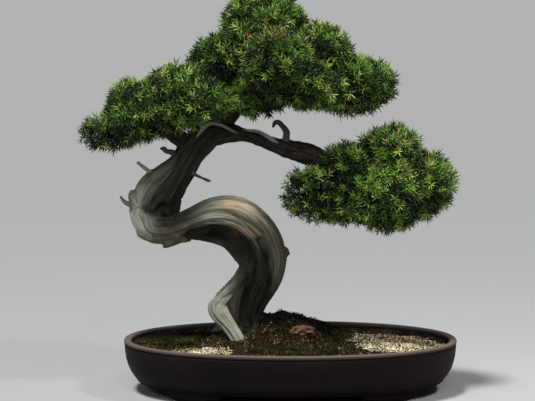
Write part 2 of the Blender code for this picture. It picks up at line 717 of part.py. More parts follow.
def main():
    clear_scene()
    parts = new_collection("bonsai_tree_in_pot")
    tools = new_collection("cutters")
    finishes = {
        "clay": material("unglazed_clay", (0.060, 0.042, 0.040), 0.62),
        "soil": material("potting_soil", (0.045, 0.034, 0.024), 0.95),
        "pumice": material("pumice_gravel", (0.30, 0.27, 0.22), 0.95),
        "grit": material("tan_grit", (0.36, 0.31, 0.20), 0.90),
        "moss": material("moss", (0.075, 0.085, 0.028), 0.95),
        "bark": material("red_bark", (0.20, 0.085, 0.050), 0.85),
        "live": material("weathered_trunk", (0.17, 0.17, 0.135), 0.80),
        "dead": material("bleached_deadwood", (0.28, 0.28, 0.23), 0.85),
        "needles": material("juniper_needles", (0.055, 0.110, 0.030), 0.65),
        "plastic": material("screen_plastic", (0.03, 0.03, 0.03), 0.55),
        "wire": material("aluminium_wire", (0.30, 0.22, 0.16), 0.40, 1.0),
    }
    make_pot(parts, tools, finishes["clay"])
    hardware_rooms = make_hardware(parts, tools, finishes["plastic"], finishes["wire"])
    wood_rooms = make_wood(parts, tools, finishes["live"], finishes["dead"])

    drainage = piece("drainage_layer", drainage_mesh(), parts, finishes["pumice"])
    soil = piece("soil", soil_mesh(), parts, finishes["soil"])
    for room in hardware_rooms:
        boolean(drainage, room)
    boolean(soil, hardware_rooms[-1])
    boolean(soil, wood_rooms["trunk"])

    make_covers(parts, tools, wood_rooms["trunk"], finishes)
    make_foliage(parts, wood_rooms, finishes["needles"])


main()
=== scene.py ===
"""The looks of a needle juniper bonsai in an oval clay pot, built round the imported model.

Metres, +Z up, the front of the tree towards -Y. Wood is grown from limb lines of (x, y, z, radius).
Foliage, grit, moss and litter are scattered by geometry node trees over skins that carry their own
cover and tone.
"""

import json
import math

import bmesh
import bpy
import numpy as np
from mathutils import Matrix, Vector

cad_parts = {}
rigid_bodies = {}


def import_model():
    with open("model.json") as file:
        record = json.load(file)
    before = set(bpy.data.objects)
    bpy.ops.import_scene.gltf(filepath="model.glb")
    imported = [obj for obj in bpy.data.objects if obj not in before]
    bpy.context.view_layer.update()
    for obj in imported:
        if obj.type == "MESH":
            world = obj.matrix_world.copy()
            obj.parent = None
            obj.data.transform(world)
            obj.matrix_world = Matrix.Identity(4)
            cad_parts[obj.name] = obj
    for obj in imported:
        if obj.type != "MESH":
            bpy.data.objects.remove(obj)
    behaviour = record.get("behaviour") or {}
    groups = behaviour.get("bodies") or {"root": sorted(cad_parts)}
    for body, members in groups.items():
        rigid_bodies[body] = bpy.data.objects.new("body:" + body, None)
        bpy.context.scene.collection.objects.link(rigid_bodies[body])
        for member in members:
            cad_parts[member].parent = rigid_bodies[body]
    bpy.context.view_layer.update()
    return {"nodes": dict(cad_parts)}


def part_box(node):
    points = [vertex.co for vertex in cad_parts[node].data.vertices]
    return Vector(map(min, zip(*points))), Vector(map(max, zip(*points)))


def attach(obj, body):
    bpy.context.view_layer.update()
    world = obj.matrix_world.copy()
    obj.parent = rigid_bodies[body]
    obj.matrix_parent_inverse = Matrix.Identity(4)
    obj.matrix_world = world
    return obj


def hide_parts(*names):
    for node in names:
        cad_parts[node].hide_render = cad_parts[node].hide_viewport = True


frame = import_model()


def in_metres(lengths):
    """Lengths given in millimetres, in metres, in the same lists and tables."""
    if isinstance(lengths, dict):
        return {key: in_metres(value) for key, value in lengths.items()}
    if isinstance(lengths, (list, tuple)):
        return type(lengths)(in_metres(value) for value in lengths)
    return lengths / 1000


ROOT = "root"
SEED = 11
ROOM_LIGHT = 0.15
BACKDROP_LIGHT = 0.47
BACKDROP_COLOUR = (0.947, 0.962, 0.957)

POT_LOW, POT_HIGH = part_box("pot")
POT_X = (POT_LOW.x + POT_HIGH.x) / 2
POT_LENGTH = 0.552
POT_DEPTH = 0.410
POT_HEIGHT = POT_HIGH.z
FOOT_HEIGHT = 0.014
FLOOR_THICKNESS = 0.010
WALL_THICKNESS = 0.0115
LIP_HEIGHT = 0.006
BASE_INSET = 0.026
FRONT_LEAN = 1.4
OVAL_POWER = 2.15
OVAL_SIDES = 224
SOIL_EDGE_LEVEL = 0.0765
SOIL_BOTTOM = 0.0345


# ---- node trees


class Socket:
    """An output socket that can be used in sums. Each sum adds its own Math node."""

    def __init__(self, tree, link):
        self.tree, self.link = tree, link

    def math(self, operation, *terms, clamp=False):
        node = self.tree.nodes.new("ShaderNodeMath")
        node.operation = operation
        node.use_clamp = clamp
        for slot, term in zip(node.inputs, terms):
            plug(self.tree, slot, term)
        return Socket(self.tree, node.outputs[0])

    def __add__(self, other):
        return self.math("ADD", self, other)

    def __sub__(self, other):
        return self.math("SUBTRACT", self, other)

    def __rsub__(self, other):
        return self.math("SUBTRACT", other, self)

    def __mul__(self, other):
        return self.math("MULTIPLY", self, other)

    __radd__ = __add__
    __rmul__ = __mul__

    def clamp(self):
        return self.math("ADD", self, 0.0, clamp=True)

    def above(self, start, end):
        """0 below start, 1 above end, and straight between them."""
        return self.math("MULTIPLY", self - start, 1 / (end - start), clamp=True)


def plug(tree, slot, term):
    if isinstance(term, Socket):
        tree.links.new(term.link, slot)
    elif slot.type == "RGBA" and len(term) == 3:
        slot.default_value = (*term, 1.0)
    else:
        slot.default_value = term


class Nodes:
    """Adds nodes to one tree."""

    def __init__(self, tree):
        self.tree = tree

    def add(self, kind, settings=None, inputs=None, output=0):
        node = self.tree.nodes.new(kind)
        for name, value in (settings or {}).items():
            if name == "stops":
                ramp = node.color_ramp
                while len(ramp.elements) < len(value):
                    ramp.elements.new(0.5)
                for element, (place, colour) in zip(ramp.elements, value):
                    element.position = place
                    element.color = (*colour, 1.0)
            else:
                setattr(node, name, value)
        for name, value in (inputs or {}).items():
            plug(self.tree, node.inputs[name], value)
        return Socket(self.tree, node.outputs[output])

    def mix(self, share, first, second):
        return self.add("ShaderNodeMix", {"data_type": "RGBA"}, {0: share, 6: first, 7: second}, 2)

    def noise(self, vector, scale, detail=3.0, roughness=0.5, distortion=0.0):
        given = {"Vector": vector, "Scale": scale, "Detail": detail, "Roughness": roughness}
        return self.add("ShaderNodeTexNoise", inputs={**given, "Distortion": distortion})

    def ramp(self, value, stops):
        return self.add("ShaderNodeValToRGB", {"stops": stops}, {"Fac": value})

    def vector(self, operation, first, second):
        slot = "Scale" if operation == "SCALE" else 1
        return self.add("ShaderNodeVectorMath", {"operation": operation}, {0: first, slot: second})

    def object_place(self):
        return self.add("ShaderNodeTexCoord", output="Object")

    def stretched(self, vector, scale):
        return self.add("ShaderNodeMapping", inputs={"Vector": vector, "Scale": scale})

    def attribute(self, name, output="Fac"):
        return self.add("ShaderNodeAttribute", {"attribute_name": name}, output=output)

    def bump(self, height, distance):
        return self.add("ShaderNodeBump", inputs={"Height": height, "Distance": distance, "Strength": 1.0})


def finish(name, build, specular=0.5, metallic=0.0, roughness=0.5):
    """A material with these constants and the base colour, roughness and normal that build gives."""
    made = bpy.data.materials.new(name)
    made.use_nodes = True
    shader = made.node_tree.nodes["Principled BSDF"]
    for slot, value in (("Specular IOR Level", specular), ("Metallic", metallic), ("Roughness", roughness)):
        shader.inputs[slot].default_value = value
    for slot, value in zip(("Base Color", "Roughness", "Normal"), build(Nodes(made.node_tree))):
        plug(made.node_tree, shader.inputs[slot], value)
    return made


# ---- finishes


def clay(n):
    place = n.object_place()
    mottle = n.noise(place, 22, 6, 0.65)
    cloud = n.noise(place, 5, 3)
    speck = n.noise(place, 520, 2)
    turning = n.noise(n.stretched(place, (6, 6, 240)), 1.0, 4, 0.6)
    height = n.add("ShaderNodeSeparateXYZ", inputs={"Vector": place}, output="Z")
    # Lighter towards the top of the rim: partly dust, partly a painted highlight where the light falls on
    # the rim.
    dust_and_rim_highlight = height.above(POT_HEIGHT - 0.007, POT_HEIGHT - 0.001) * (0.55 + 0.45 * mottle)
    base = n.mix(cloud.above(0.35, 0.68), (0.0052, 0.0042, 0.0040), (0.0110, 0.0066, 0.0062))
    base = n.mix(mottle.above(0.40, 0.75) * 0.45, base, (0.014, 0.010, 0.0095))
    base = n.mix(speck.above(0.62, 0.72) * 0.25, base, (0.05, 0.038, 0.035))
    base = n.mix(dust_and_rim_highlight.clamp() * 0.85, base, (0.125, 0.098, 0.092))
    relief = mottle * 0.5 + turning * 0.35 + speck * 0.3
    return base, 0.46 + mottle * 0.22 + dust_and_rim_highlight.clamp() * 0.15, n.bump(relief, 0.0009)


def trunk_wood(n):
    """Weathered trunk wood. Its fibres follow the grain that is stored on the mesh."""
    grain = n.attribute("grain", "Vector")
    hollow = n.attribute("hollow")
    pale = n.attribute("pale")
    fibre = n.noise(n.stretched(grain, (1, 1, 0.045)), 12, 6, 0.70, 0.35)
    strand = n.noise(n.stretched(grain, (1, 1, 0.12)), 2.6, 4, 0.6, 0.7)
    blotch = n.noise(n.object_place(), 26, 4, 0.6)
    crack = n.noise(n.stretched(grain, (1, 1, 0.045)), 17, 3, 0.6, 0.3)
    crack = 1 - crack.above(0.36, 0.47)
    base = n.ramp(
        fibre * 0.80 + strand * 0.20,
        [
            (0.36, (0.078, 0.073, 0.048)),
            (0.45, (0.145, 0.138, 0.095)),
            (0.54, (0.196, 0.190, 0.140)),
            (0.66, (0.262, 0.258, 0.202)),
        ],
    )
    base = n.mix(blotch.above(0.48, 0.66) * 0.40, base, (0.190, 0.155, 0.080))
    # The pale wood: bleached, and a painted highlight where the elbow knob and the top of the limb catch the
    # light.
    bleach_and_highlight = n.mix(fibre.above(0.38, 0.60), (0.29, 0.30, 0.24), (0.53, 0.545, 0.475))
    base = n.mix(pale, base, bleach_and_highlight)
    # A painted pool of sunlight on the front of the arch's top.
    tan = n.attribute("tan")
    base = n.mix((tan * (0.75 + 0.4 * fibre)).clamp(), base, (0.56, 0.46, 0.325))
    base = n.mix(n.attribute("scar") * fibre.above(0.40, 0.58), base, (0.380, 0.190, 0.140))
    # Painted shade in the cracks, less on the pale wood.
    base = n.mix(crack * (0.50 - 0.32 * pale), base, (0.030, 0.026, 0.019))
    # Painted shade where the limbs and the crown shadow the trunk, over random dark patches.
    shaded = n.mix(fibre.above(0.40, 0.66), (0.010, 0.009, 0.007), (0.052, 0.048, 0.037))
    base = n.mix(n.attribute("dark") * 0.92, base, shaded)
    # Painted shade in the cracks and grooves.
    base = n.mix(hollow, base, (0.008, 0.007, 0.005))
    relief = fibre * 0.95 + strand * 0.5 - crack * 0.6
    scale = n.noise(n.stretched(grain, (1, 1, 0.42)), 5.5, 5, 0.7, 0.5)
    dark = n.mix(scale.above(0.42, 0.66), (0.009, 0.007, 0.005), (0.056, 0.044, 0.032))
    rough = n.attribute("bark")
    base = n.mix(rough, base, dark)
    relief = relief + rough * scale * 2.0
    return base, 0.62 + 0.3 * fibre, n.bump(relief, 0.0018)


def dead_wood(n):
    grain = n.attribute("grain", "Vector")
    fibre = n.noise(n.stretched(grain, (1, 1, 0.06)), 8, 6, 0.65, 0.3)
    blotch = n.noise(n.object_place(), 60, 4, 0.6)
    base = n.ramp(
        fibre * 0.6 + blotch * 0.4,
        [(0.34, (0.135, 0.130, 0.100)), (0.48, (0.275, 0.280, 0.235)), (0.66, (0.41, 0.42, 0.365))],
    )
    dark = n.attribute("bark")
    base = n.mix(dark, base, (0.030, 0.024, 0.018))
    # Painted shade in the cracks.
    base = n.mix(n.attribute("hollow"), base, (0.022, 0.018, 0.014))
    return base, 0.60 + 0.3 * blotch, n.bump(fibre * 0.8 + blotch * 0.4, 0.0016)


NEEDLE_TONES = [
    (0.00, (0.002, 0.004, 0.001)),
    (0.25, (0.007, 0.018, 0.003)),
    (0.46, (0.024, 0.063, 0.006)),
    (0.62, (0.068, 0.157, 0.013)),
    (0.78, (0.190, 0.350, 0.038)),
    (0.93, (0.370, 0.500, 0.100)),
    (0.975, (0.330, 0.300, 0.105)),
    (0.997, (0.150, 0.105, 0.036)),
]


def needles(n):
    tone = n.attribute("tone")
    along = n.attribute("along")
    base = n.ramp(tone, NEEDLE_TONES)
    # Painted shade at the needles' bases, round the stem.
    base = n.mix((1 - along.above(0.0, 0.45)) * 0.7, base, (0.008, 0.011, 0.003))
    # A painted highlight on the tips of the lighter needles.
    base = n.mix(along.above(0.55, 1.0) * tone.above(0.25, 0.6) * 0.34, base, (0.225, 0.36, 0.08))
    return (base,)


# The near-black finish of the clump cores: painted shade, with some old growth.
def shade_and_old_growth(n):
    fine = n.noise(n.object_place(), 420, 4, 0.7)
    return (n.mix(fine.above(0.45, 0.7), (0.0015, 0.0020, 0.0008), (0.012, 0.014, 0.006)),)


def soil_ground(n):
    place = n.object_place()
    crumb = n.noise(place, 260, 5, 0.7)
    patch = n.noise(place, 18, 4, 0.6)
    green = n.noise(place, 34, 5, 0.65)
    base = n.mix(crumb.above(0.38, 0.68), (0.005, 0.004, 0.003), (0.026, 0.020, 0.014))
    base = n.mix(patch.above(0.45, 0.62) * 0.6, base, (0.024, 0.016, 0.009))
    base = n.mix(green.above(0.52, 0.66) * crumb * 0.9, base, (0.036, 0.036, 0.010))
    return base, 0.88 + 0.1 * crumb, n.bump(crumb + patch, 0.003)


def toned(stops, scale):
    """A finish whose colour comes from each grain's own tone."""

    def build(n):
        tone = n.attribute("tone")
        fine = n.noise(n.object_place(), scale, 3, 0.6)
        base = n.ramp((tone * 0.8 + fine * 0.2).clamp(), stops)
        return base, 0.9 + 0.1 * fine

    return build


def speckled(scale, detail, first, second, smoothest, spread):
    """A finish that varies between two colours, and in roughness with them."""

    def build(n):
        fine = n.noise(n.object_place(), scale, detail)
        return n.mix(fine, first, second), smoothest + spread * fine

    return build


def pumice_bed(n):
    place = n.object_place()
    cell = n.add("ShaderNodeTexVoronoi", inputs={"Vector": place, "Scale": 190.0}, output="Distance")
    pore = n.noise(place, 700, 3)
    base = n.mix(pore.above(0.4, 0.65), (0.17, 0.15, 0.12), (0.42, 0.39, 0.33))
    # Painted shade in the gaps between the stones.
    base = n.mix(cell.above(0.55, 0.9), base, (0.06, 0.05, 0.04))
    return base, 0.9 + 0.08 * pore, n.bump(1 - cell, 0.003)


def flake_bark(n):
    place = n.object_place()
    layer = n.noise(n.stretched(place, (70, 160, 260)), 1.0, 5, 0.65)
    patch = n.noise(place, 120, 4)
    base = n.mix(layer.above(0.36, 0.64), (0.036, 0.019, 0.012), (0.150, 0.078, 0.044))
    base = n.mix(patch.above(0.55, 0.72) * 0.6, base, (0.26, 0.18, 0.12))
    return base, 0.8 + 0.15 * layer, n.bump(layer, 0.003)


PLASTIC = speckled(900, 3, (0.012, 0.012, 0.012), (0.030, 0.030, 0.030), 0.42, 0.25)
COPPER = speckled(300, 4, (0.20, 0.13, 0.09), (0.34, 0.25, 0.19), 0.30, 0.25)
PALE_FLOOR = speckled(30, 4, (0.275, 0.282, 0.292), (0.293, 0.300, 0.310), 0.85, 0.05)
FINISHES = {
    "clay": finish("unglazed_clay", clay, specular=0.06),
    "trunk": finish("weathered_trunk_wood", trunk_wood, specular=0.25),
    "dead": finish("bleached_deadwood", dead_wood, specular=0.25),
    "needles": finish("juniper_needles", needles, roughness=0.55, specular=0.35),
    "shade_core": finish("shade_and_old_growth", shade_and_old_growth, roughness=0.9, specular=0.0),
    "soil": finish("potting_soil", soil_ground, specular=0.0),
    "flake": finish("red_bark", flake_bark, specular=0.2),
    "pumice": finish("pumice_gravel", pumice_bed, specular=0.2),
    "plastic": finish("screen_plastic", PLASTIC),
    "wire": finish("copper_coloured_wire", COPPER, metallic=1.0),
    "floor": finish("pale_floor", PALE_FLOOR, specular=0.0),
}
TONES = {
    "crumbs": [(0.1, (0.003, 0.003, 0.002)), (0.5, (0.012, 0.009, 0.006)), (0.9, (0.060, 0.045, 0.029))],
    "grit": [
        (0.08, (0.070, 0.052, 0.032)),
        (0.35, (0.300, 0.245, 0.145)),
        (0.65, (0.520, 0.450, 0.300)),
        (0.92, (0.740, 0.700, 0.560)),
    ],
    "moss": [(0.1, (0.005, 0.007, 0.002)), (0.5, (0.015, 0.017, 0.005)), (0.9, (0.105, 0.096, 0.036))],
    "litter": [(0.1, (0.030, 0.014, 0.007)), (0.5, (0.120, 0.060, 0.028)), (0.9, (0.330, 0.250, 0.130))],
}
for kind, title, scale in (
    ("crumbs", "soil_crumbs", 400),
    ("grit", "tan_grit", 500),
    ("moss", "dry_moss", 200),
    ("litter", "fallen_needles", 200),
):
    FINISHES[kind] = finish(title, toned(TONES[kind], scale), specular=0.0)


# ---- meshes


def lattice_noise(points, seed=0):
    """Smooth noise between -1 and 1 at each point, one lattice cell to the unit."""
    values = np.random.default_rng(seed).uniform(-1, 1, (32, 32, 32))
    cell = np.floor(points).astype(int)
    t = points - cell
    t = t * t * (3 - 2 * t)
    total = np.zeros(len(points))
    for corner in np.ndindex(2, 2, 2):
        share = np.prod(np.where(np.array(corner) == 1, t, 1 - t), axis=1)
        i, j, k = ((cell + corner) % 32).T
        total += share * values[i, j, k]
    return total


def layered_noise(points, seed=0, layers=3, fall=0.5):
    total, share = np.zeros(len(points)), 1.0
    for layer in range(layers):
        total += share * lattice_noise(points * 2.03**layer + 7.1 * layer, seed + layer)
        share *= fall
    return total


def unit(vectors):
    return vectors / np.maximum(np.linalg.norm(vectors, axis=-1, keepdims=True), 1e-9)


def smooth_line(points, steps):
    """Points on a smooth curve through the given ones, with whatever other numbers each point carries."""
    given = np.array(points, float)
    ends = np.vstack([given[:1], given, given[-1:]])
    a, b, c, d = ends[:-3, None], ends[1:-2, None], ends[2:-1, None], ends[3:, None]
    t = (np.arange(steps) / steps)[None, :, None]
    line = 0.5 * (2 * b + (c - a) * t + (2 * a - 5 * b + 4 * c - d) * t**2 + (3 * b - a - 3 * c + d) * t**3)
    return np.vstack([line.reshape(-1, given.shape[1]), given[-1:]])


def limb_frames(line):
    """Along, towards the front, and sideways, at each point of a limb."""
    along = unit(np.gradient(line[:, :3], axis=0))
    front = np.tile([0.0, -1.0, 0.0], (len(line), 1))
    front[np.abs(along[:, 1]) > 0.93] = (0.0, 0.0, 1.0)
    front = unit(front - (front * along).sum(1, keepdims=True) * along)
    return along, front, np.cross(along, front)


def mesh_from(name, points, faces):
    mesh = bpy.data.meshes.new(name)
    mesh.from_pydata(np.reshape(points, (-1, 3)).tolist(), [], [tuple(int(i) for i in f) for f in faces])
    return mesh


def from_bmesh(name, bm):
    mesh = bpy.data.meshes.new(name)
    bm.to_mesh(mesh)
    bm.free()
    return mesh


def ball(name, subdivisions):
    bm = bmesh.new()
    bmesh.ops.create_icosphere(bm, subdivisions=subdivisions, radius=1.0)
    return from_bmesh(name, bm)


def ring_faces(count, sides):
    """The four-sided faces between neighbours of count rings."""
    low = np.arange(sides)
    high = (low + 1) % sides
    faces = []
    for a in range(0, (count - 1) * sides, sides):
        b = a + sides
        faces += list(zip(a + low, a + high, b + high, b + low))
    return faces


def lofted(name, rings):
    """A closed skin through rings of points, each with the same count, capped at both ends."""
    rings = np.array(rings, float)
    count, sides = rings.shape[:2]
    low = np.arange(sides)
    mesh = mesh_from(name, rings, [*ring_faces(count, sides), low[::-1], (count - 1) * sides + low])
    bm = bmesh.new()
    bm.from_mesh(mesh)
    bmesh.ops.recalc_face_normals(bm, faces=bm.faces)
    bm.to_mesh(mesh)
    bm.free()
    return mesh


ROUND_END = [(0.45, 0.35), (0.85, 0.12)]  # share of the radius, and of the rounded end's length
END_LENGTH = 1.5  # in radii
LEAST_RADIUS = 0.0004


def limb_mesh(limb, steps=6, sides=20, flat=1.0):
    """A closed limb along (x, y, z, radius) with rounded ends; flat under 1 thins it from front to back."""
    line = smooth_line(limb, steps)
    along, front, side = limb_frames(line)
    angles = np.linspace(0, 2 * np.pi, sides, endpoint=False)
    rows = [(0, share, -back) for share, back in ROUND_END]
    rows += [(i, 1.0, 0.0) for i in range(len(line))]
    rows += [(len(line) - 1, share, back) for share, back in ROUND_END[::-1]]
    rings = []
    for i, share, shift in rows:
        radius = max(line[i, 3], LEAST_RADIUS)
        middle = line[i, :3] + along[i] * radius * shift * END_LENGTH
        section = flat * np.outer(np.cos(angles), front[i]) + np.outer(np.sin(angles), side[i])
        rings.append(middle + radius * share * section)
    return lofted("limb", rings)


def joined(name, meshes):
    bm = bmesh.new()
    for mesh in meshes:
        bm.from_mesh(mesh)
    return from_bmesh(name, bm)


def placed(name, data):
    data.name = name
    obj = bpy.data.objects.new(name, data)
    bpy.context.scene.collection.objects.link(obj)
    return obj


def applied(obj, name):
    """A plain mesh of the object with its modifiers, in a new object; the old one is removed."""
    bpy.context.view_layer.update()
    graph = bpy.context.evaluated_depsgraph_get()
    mesh = bpy.data.meshes.new_from_object(obj.evaluated_get(graph))
    bpy.data.objects.remove(obj, do_unlink=True)
    return placed(name, mesh)


def vectors_of(items, key):
    found = np.empty(len(items) * 3, np.float32)
    items.foreach_get(key, found)
    return found.reshape(-1, 3).astype(float)


def points_of(mesh):
    return vectors_of(mesh.vertices, "co")


def normals_of(mesh):
    return vectors_of(mesh.vertex_normals, "vector")


def set_points(mesh, points):
    mesh.vertices.foreach_set("co", points.astype(np.float32).ravel())
    mesh.update()


def store(mesh, name, values):
    values = np.asarray(values, np.float32)
    kind, key = ("FLOAT_VECTOR", "vector") if values.ndim == 2 else ("FLOAT", "value")
    mesh.attributes.new(name, kind, "POINT").data.foreach_set(key, values.ravel())


def shown(obj, material, nodes, smooth_angle=None):
    """Gives the piece its finish, sets it on the tree's one body, and hides the CAD nodes it stands for."""
    obj.data.materials.clear()
    obj.data.materials.append(FINISHES[material])
    if smooth_angle:
        obj.data.shade_smooth()
        obj.data.set_sharp_from_angle(angle=math.radians(smooth_angle))
    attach(obj, ROOT)
    if nodes:
        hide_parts(*nodes)


# ---- stage, light and camera

CAMERA_DISTANCE = 2.49
CAMERA_HEIGHT = 0.451
CAMERA_PITCH = 3.15  # degrees down
LENS = 100.9
SENSOR_WIDTH = 36.0
NEAREST_SEEN = 0.05
FLOOR_RADIUS = 40.0
LIGHTS = (
    # name, kind, place, what it points at, power, colour, angle in radians or size in metres
    ("overhead", "SUN", (-0.45, -0.45, 2.1), (0.0, 0.0, 0.35), 4.75, (1.0, 0.985, 0.95), math.radians(11)),
    ("front_fill", "AREA", (0.30, -2.0, 1.75), (0.02, 0.0, 0.30), 13, (1.0, 0.99, 0.97), 0.5),
    ("right_fill", "AREA", (1.0, -0.55, 1.35), (0.22, 0.0, 0.22), 15, (1.0, 0.97, 0.90), 0.25),
    ("left_fill", "AREA", (-1.7, -1.5, 1.5), (0.0, 0.0, 0.3), 10, (0.96, 0.98, 1.0), 1.0),
)


def make_stage():
    """A plain pale floor."""
    bm = bmesh.new()
    bmesh.ops.create_circle(bm, cap_ends=True, segments=64, radius=FLOOR_RADIUS)
    obj = placed("floor", from_bmesh("floor", bm))
    obj.data.materials.append(FINISHES["floor"])


def soft_light(name, kind, place, target, power, colour, softness):
    lamp = bpy.data.lights.new(name, kind)
    lamp.energy, lamp.color = power, colour
    if kind == "SUN":
        lamp.angle = softness
    else:
        lamp.shape, lamp.size = "DISK", softness
    obj = placed(name, lamp)
    obj.location = place
    obj.rotation_euler = (Vector(target) - obj.location).to_track_quat("-Z", "Y").to_euler()


def make_lights_and_camera():
    scene = bpy.context.scene
    world = bpy.data.worlds.new("studio")
    world.use_nodes = True
    n = Nodes(world.node_tree)
    background = world.node_tree.nodes["Background"]
    background.inputs["Color"].default_value = (*BACKDROP_COLOUR, 1.0)
    seen = n.add("ShaderNodeLightPath", output="Is Camera Ray")
    plug(world.node_tree, background.inputs["Strength"], ROOM_LIGHT + seen * (BACKDROP_LIGHT - ROOM_LIGHT))
    scene.world = world
    scene.view_settings.view_transform = "Standard"
    for light in LIGHTS:
        soft_light(*light)
    camera = bpy.data.cameras.new("camera")
    camera.lens = LENS
    camera.sensor_width = SENSOR_WIDTH
    camera.clip_start = NEAREST_SEEN
    scene.camera = placed("camera", camera)
    scene.camera.location = (0.0, -CAMERA_DISTANCE, CAMERA_HEIGHT)
    scene.camera.rotation_euler = (math.radians(90 - CAMERA_PITCH), 0.0, 0.0)


# ---- pot


def oval(half_x, half_y, z, angles):
    cos, sin = np.cos(angles), np.sin(angles)
    reach = (np.abs(cos) ** OVAL_POWER + np.abs(sin) ** OVAL_POWER) ** (-1 / OVAL_POWER)
    return np.stack([POT_X + half_x * reach * cos, half_y * reach * sin, np.full_like(cos, z)], axis=1)


ALL_ROUND = np.linspace(0, 2 * np.pi, OVAL_SIDES, endpoint=False)


def wall_lean(z):
    down = max(0.0, (POT_HEIGHT - LIP_HEIGHT - z) / (POT_HEIGHT - LIP_HEIGHT - FOOT_HEIGHT))
    return BASE_INSET * (0.16 * down + 0.84 * down**3)


def pot_outline(lean, inset, z, angles):
    return oval(POT_LENGTH / 2 - lean - inset, POT_DEPTH / 2 - FRONT_LEAN * lean - inset, z, angles)


def pot_ring(z, inset):
    return pot_outline(wall_lean(z), inset, z, ALL_ROUND)


# The turned edges of the pot: how far up from the edge's own level, and how far in, in millimetres.
BASE_ROLL = in_metres([(0, 30), (0, 6), (0.3, 0.8), (1, -0.6), (4.4, -1.1), (5.2, -0.7), (5.8, 0.4)])
LIP_ROLL = in_metres([(-2, 0.6), (-1.4, 1.8), (-0.6, 1.8), (0, 0.4), (0.7, -0.3), (2, -0.6)])
TOP_ROLL = in_metres([(-2, -0.6), (-0.9, -0.2), (-0.3, 0.7), (0, 1.9), (0, 5)])
INNER_ROLL = in_metres([(-0.2, -3), (-0.8, -1.4), (-2.2, -0.4)])
FLOOR_ROLL = in_metres([(8, 2), (2, 7), (0, 14)])


def pot_profile():
    """(height, inset from the outer wall) from the underside, up the wall, over the lip and down inside."""
    top, lip, floor = POT_HEIGHT, POT_HEIGHT - LIP_HEIGHT, FOOT_HEIGHT + FLOOR_THICKNESS
    rows = [(FOOT_HEIGHT + up, inset) for up, inset in BASE_ROLL]
    rows += [(z, 0.0) for z in np.linspace(FOOT_HEIGHT + 0.0066, lip - 0.0030, 22)]
    rows += [(lip + up, inset) for up, inset in LIP_ROLL]
    rows += [(top + up, inset) for up, inset in TOP_ROLL]
    rows += [(top + up, WALL_THICKNESS + inset) for up, inset in INNER_ROLL]
    rows += [(z, WALL_THICKNESS) for z in np.linspace(top - 0.005, floor + 0.018, 8)]
    rows += [(floor + up, WALL_THICKNESS + inset) for up, inset in FLOOR_ROLL]
    return rows


FOOT_SECTIONS = 61
FOOT_HALF_SPAN = 15.0  # degrees round the pot
FOOT_OUTER_INSET, FOOT_INNER_INSET = 0.0026, 0.030
FOOT_SPLAY = 0.0022
PAD_SHARE = 0.52  # how much of the foot's half span stands on the ground
CURL_START = 0.93  # where its end begins to curl


def foot_mesh(middle):
    """A cloud foot: its lower edge swings up in lobes from a flat pad to curled ends."""
    rings = []
    lean = wall_lean(FOOT_HEIGHT)
    for u in np.linspace(-1, 1, FOOT_SECTIONS):
        angle = np.array([math.radians(middle + FOOT_HALF_SPAN * u)])
        out = abs(u)
        rise = 0.0
        if out > PAD_SHARE:
            step = (out - PAD_SHARE) / (1 - PAD_SHARE)
            rise = FOOT_HEIGHT * (0.16 + 0.50 * step + 0.10 * math.sin(step * math.pi * 2))
        if out > CURL_START:
            rise += FOOT_HEIGHT * 1.2 * (out - CURL_START)
        low = min(rise, FOOT_HEIGHT * 0.86)
        outside, inside = [], []
        for z in np.linspace(low, FOOT_HEIGHT + 0.003, 6):
            round_under = FOOT_SPLAY * max(0.0, 1 - (z - low) / 0.003) ** 2
            splay = FOOT_SPLAY * (1 - z / FOOT_HEIGHT) - round_under
            outside.append(pot_outline(lean, FOOT_OUTER_INSET - splay, z, angle)[0])
            inside.append(pot_outline(lean, FOOT_INNER_INSET + splay, z, angle)[0])
        rings.append(outside + inside[::-1])
    return lofted("foot", rings)


HOLES = ((-0.110, 0.011), (0.110, 0.011), (-0.050, 0.003), (0.050, 0.003))  # x, radius
FEET = (49, 131, 229, 311)  # degrees round the pot


def make_pot():
    bowl = placed("bowl", lofted("bowl", [pot_ring(z, inset) for z, inset in pot_profile()]))
    cutters = []
    for x, radius in HOLES:
        bm = bmesh.new()
        bmesh.ops.create_cone(bm, cap_ends=True, segments=32, radius1=radius, radius2=radius, depth=0.05)
        bmesh.ops.translate(bm, verts=bm.verts, vec=(POT_X + x, 0, FOOT_HEIGHT))
        cutters.append((placed("hole", from_bmesh("hole", bm)), "DIFFERENCE"))
    cutters += [(placed("foot", foot_mesh(angle)), "UNION") for angle in FEET]
    for other, operation in cutters:
        cut = bowl.modifiers.new(operation.title(), "BOOLEAN")
        cut.operation = operation
        cut.solver = "EXACT"
        cut.object = other
    pot = applied(bowl, "pot_visual")
    for other, _ in cutters:
        bpy.data.objects.remove(other, do_unlink=True)
    points = points_of(pot.data)
    outward = unit((points - (POT_X, 0, 0)) * (1, 1, 0))
    wobble = 0.0005 * lattice_noise(points * (14, 14, 9), 3)
    wobble += 0.00018 * lattice_noise(points * (60, 60, 160), 4)
    set_points(pot.data, points + outward * (wobble * (points[:, 2] > FOOT_HEIGHT))[:, None])
    shown(pot, "clay", ["pot"], 38)


# ---- soil and what lies on it


MOUND_HEIGHT = 0.040
MOUND_MIDDLE = (0.010, 0.045)  # where the rings of the soil's surface draw together
WALL_GAP = 0.0006
COVER_MARGIN = 0.014  # how far the loose covers stay inside the pot's outline


def bell(x, y, centre_x, centre_y, spread_x, spread_y):
    return np.exp(-(((x - centre_x) / spread_x) ** 2) - ((y - centre_y) / spread_y) ** 2)


